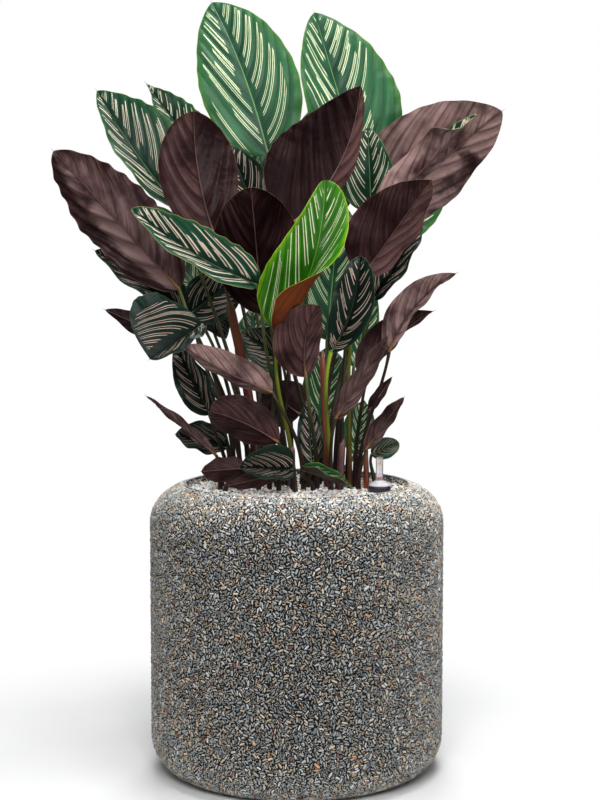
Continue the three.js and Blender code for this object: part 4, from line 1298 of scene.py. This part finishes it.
def gauge_base(g, bottom, top):
    """The dark ring, with a groove round it and the guide pipe below it."""
    ring = g["ring_radius"]
    pipe_end = SURFACE_Z - g["pipe_depth"]
    groove = [[ring, bottom + 3.6], [ring - 0.7, bottom + 3.9], [ring - 0.7, bottom + 4.5],
              [ring, bottom + 4.8]]
    shape = Shape()
    lathe(shape, [
        [g["bore"], pipe_end], [g["pipe_radius"], pipe_end], [g["pipe_radius"], bottom],
        [ring - 1.2, bottom], [ring - 0.3, bottom + 0.5], [ring, bottom + 1.6], *groove,
        [ring, top - 1.2], [ring - 0.4, top - 0.3], [ring - 1.2, top], [g["bore"], top],
    ], g["sides"], g["x"], g["y"], closed=True)
    base = shape.build("fine_gauge_base", [plastic("gauge_dark", (60, 50, 64), 0.35)], crease=40)
    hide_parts("gauge_base")


def gauge_tube(g, low, neck, high):
    """The sight tube on its milky cone. Its back half is milky too and carries the full mark."""
    clear, mark, milky = range(3)
    x, y, sides = g["x"], g["y"], g["sides"]
    radius, cone = g["tube_radius"], g["cone_radius"]
    bore, ceiling = radius - g["tube_wall"], high - g["tube_wall"]
    flare = [[bore, low], [cone - 0.4, low], [cone, low + 0.4], [cone, low + 1.6],
             [cone - 1, low + 2.4], [radius + 2.2, neck - 1.2], [radius + 0.8, neck]]
    rings = [[radius + 0.8, neck], [radius, neck + 1.5], [radius, high - 1.4],
             [radius - 0.4, high - 0.4], [radius - 1.4, high], [0.2, high], [0.2, ceiling],
             [bore, ceiling], [bore, low]]
    shape = Shape()
    lathe(shape, flare, sides, x, y, milky)
    around = np.where(np.arange(sides) < sides // 2, milky, clear)
    lathe(shape, rings, sides, x, y, np.tile(around, len(rings) - 1))
    turn = np.radians(np.linspace(55, 125, 9))
    for drop in g["mark_drops"]:
        heights = (high - drop, high - drop + g["mark_height"])
        curved_plate(shape, x, y, turn, (bore - 0.3, bore - 0.05), heights, mark)
    materials = [clear_plastic("gauge_clear"), plastic("gauge_mark", (228, 180, 20), 0.5),
                 plastic("gauge_milky", (236, 234, 238), 0.5)]
    piece = shape.build("fine_gauge_tube", materials, crease=40)
    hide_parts("gauge_tube")


def gauge_float(g, neck):
    """The red head that shows the level, at its lowest, on its rod."""
    rod, wide = g["rod_radius"], g["float_radius"]
    foot, head = neck - g["rod_length"], neck + g["float_height"]
    rings = [[0.1, foot], [rod, foot + 0.4], [rod, neck - 0.1], [wide - 0.4, neck],
             [wide, neck + 0.5], [wide, head - 0.8], [wide - 0.8, head], [0.1, head]]
    shape = Shape()
    sides = 40
    start = lathe(shape, rings, sides, g["x"], g["y"])
    shape.add_caps(start, len(rings), sides)
    piece = shape.build("fine_gauge_float", [plastic("gauge_red", (196, 44, 16), 0.35)],
                        body=FLOAT_BODY, crease=40)
    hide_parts("gauge_float")


def gauge():
    bottom = GAUGE["ring_bottom"]
    top = bottom + GAUGE["ring_height"]
    low = top + GAUGE["gap"]
    neck = low + GAUGE["cone_height"]
    gauge_base(GAUGE, bottom, top)
    gauge_tube(GAUGE, low, neck, low + GAUGE["tube_height"])
    gauge_float(GAUGE, neck)


# ---------------------------------------------------------------- stage, light and camera


def floor_ring(name, inner, outer, glow):
    """A flat ring of floor, in metres; a glow takes over from its inner edge to GLOW_RADIUS."""
    sides = 96
    radii = np.linspace(inner, outer, 11)[:, None]
    points = np.stack([radii * np.cos(circle(sides)), radii * np.sin(circle(sides)),
                       np.zeros((len(radii), sides))], axis=-1).reshape(-1, 3)
    faces = grid_faces(len(radii), sides, wrap=True, flip=True)
    mesh = bpy.data.meshes.new(name)
    mesh.from_pydata(points.tolist(), [], faces.tolist())
    pale = srgb(250, 250, 250)
    shader = Shader(name, roughness=0.9, base_color=pale, specular_ior_level=0.1)
    if glow:
        away = shader.node("VectorMath", operation="LENGTH")
        shader.feed(away.inputs[0], shader.place())
        share = Value(shader, away.outputs["Value"]).ramp(inner, GLOW_RADIUS)
        shader.set("Emission Color", (1, 1, 1, 1))
        shader.set("Emission Strength", share)
        shader.set("Base Color", shader.mix(share, pale, srgb(0, 0, 0)))
    mesh.materials.append(shader.material)
    ring = bpy.data.objects.new(name, mesh)
    bpy.context.scene.collection.objects.link(ring)
    return ring


def floor():
    """A plain pale floor that runs into a white surround; only the camera sees the surround."""
    floor_ring("studio_floor", 0.0, FLOOR_RADIUS, glow=False)
    surround = floor_ring("studio_surround", FLOOR_RADIUS, SURROUND_RADIUS, glow=True)
    surround.visible_diffuse = False
    surround.visible_glossy = False


def world():
    """Faint light from all sides; the camera sees plain white."""
    made = bpy.data.worlds.new("studio_world")
    made.use_nodes = True
    tree = made.node_tree
    soft = tree.nodes["Background"]
    soft.inputs["Color"].default_value = (0.95, 0.97, 1.0, 1)
    soft.inputs["Strength"].default_value = WORLD_LIGHT
    seen = tree.nodes.new("ShaderNodeBackground")
    seen.inputs["Color"].default_value = (1, 1, 1, 1)
    both = tree.nodes.new("ShaderNodeMixShader")
    tree.links.new(tree.nodes.new("ShaderNodeLightPath").outputs["Is Camera Ray"], both.inputs[0])
    tree.links.new(soft.outputs[0], both.inputs[1])
    tree.links.new(seen.outputs[0], both.inputs[2])
    tree.links.new(both.outputs[0], tree.nodes["World Output"].inputs[0])
    bpy.context.scene.world = made
    bpy.context.scene.view_settings.view_transform = "Standard"


def aimed(name, data, place, target):
    """Puts a light or camera at its place, looking at the target."""
    thing = bpy.data.objects.new(name, data)
    thing.location = Vector(place) * MM
    thing.rotation_euler = (Vector(target) - Vector(place)).to_track_quat("-Z", "Y").to_euler()
    bpy.context.scene.collection.objects.link(thing)
    return thing


def softbox(name, place, target, side, power, spread):
    data = bpy.data.lights.new(name, "AREA")
    data.spread = math.radians(spread)
    data.size = side
    data.energy = power
    aimed(name, data, place, target)


def studio():
    world()
    for name, settings in LIGHTS.items():
        softbox(name, *settings)
    floor()
    data = bpy.data.cameras.new("photo_camera")
    data.lens = CAMERA_LENS
    data.clip_end = 50
    bpy.context.scene.camera = aimed("photo_camera", data, CAMERA_PLACE, CAMERA_TARGET)


# ---------------------------------------------------------------- the plant


def give_material(node, material):
    """A CAD node that stays gets a material of its own."""
    node.data.materials.clear()
    node.data.materials.append(material)


studio()
UPPER_MATERIALS = {name: upper_material(name, *look) for name, look in UPPER_LOOKS.items()}
UNDER_MATERIALS = {name: under_material(name, *look) for name, look in UNDER_LOOKS.items()}
STEM_MATERIALS = {name: stem_material(name, *look) for name, look in STEM_LOOKS.items()}
RIB_MATERIAL = rib_material()

for number, (leaf_name, settings) in enumerate(LEAVES.items()):
    leaf_piece(leaf_name, Leaf(number, settings))
for shoot_name, shoot in SHOOTS.items():
    shoot_piece(shoot_name, *shoot)
planter()
grains()
gauge()
give_material(frame["nodes"]["liner"], plastic("liner", (40, 40, 42), 0.5))
give_material(frame["nodes"]["substrate"], granulate_material("granulate", False))
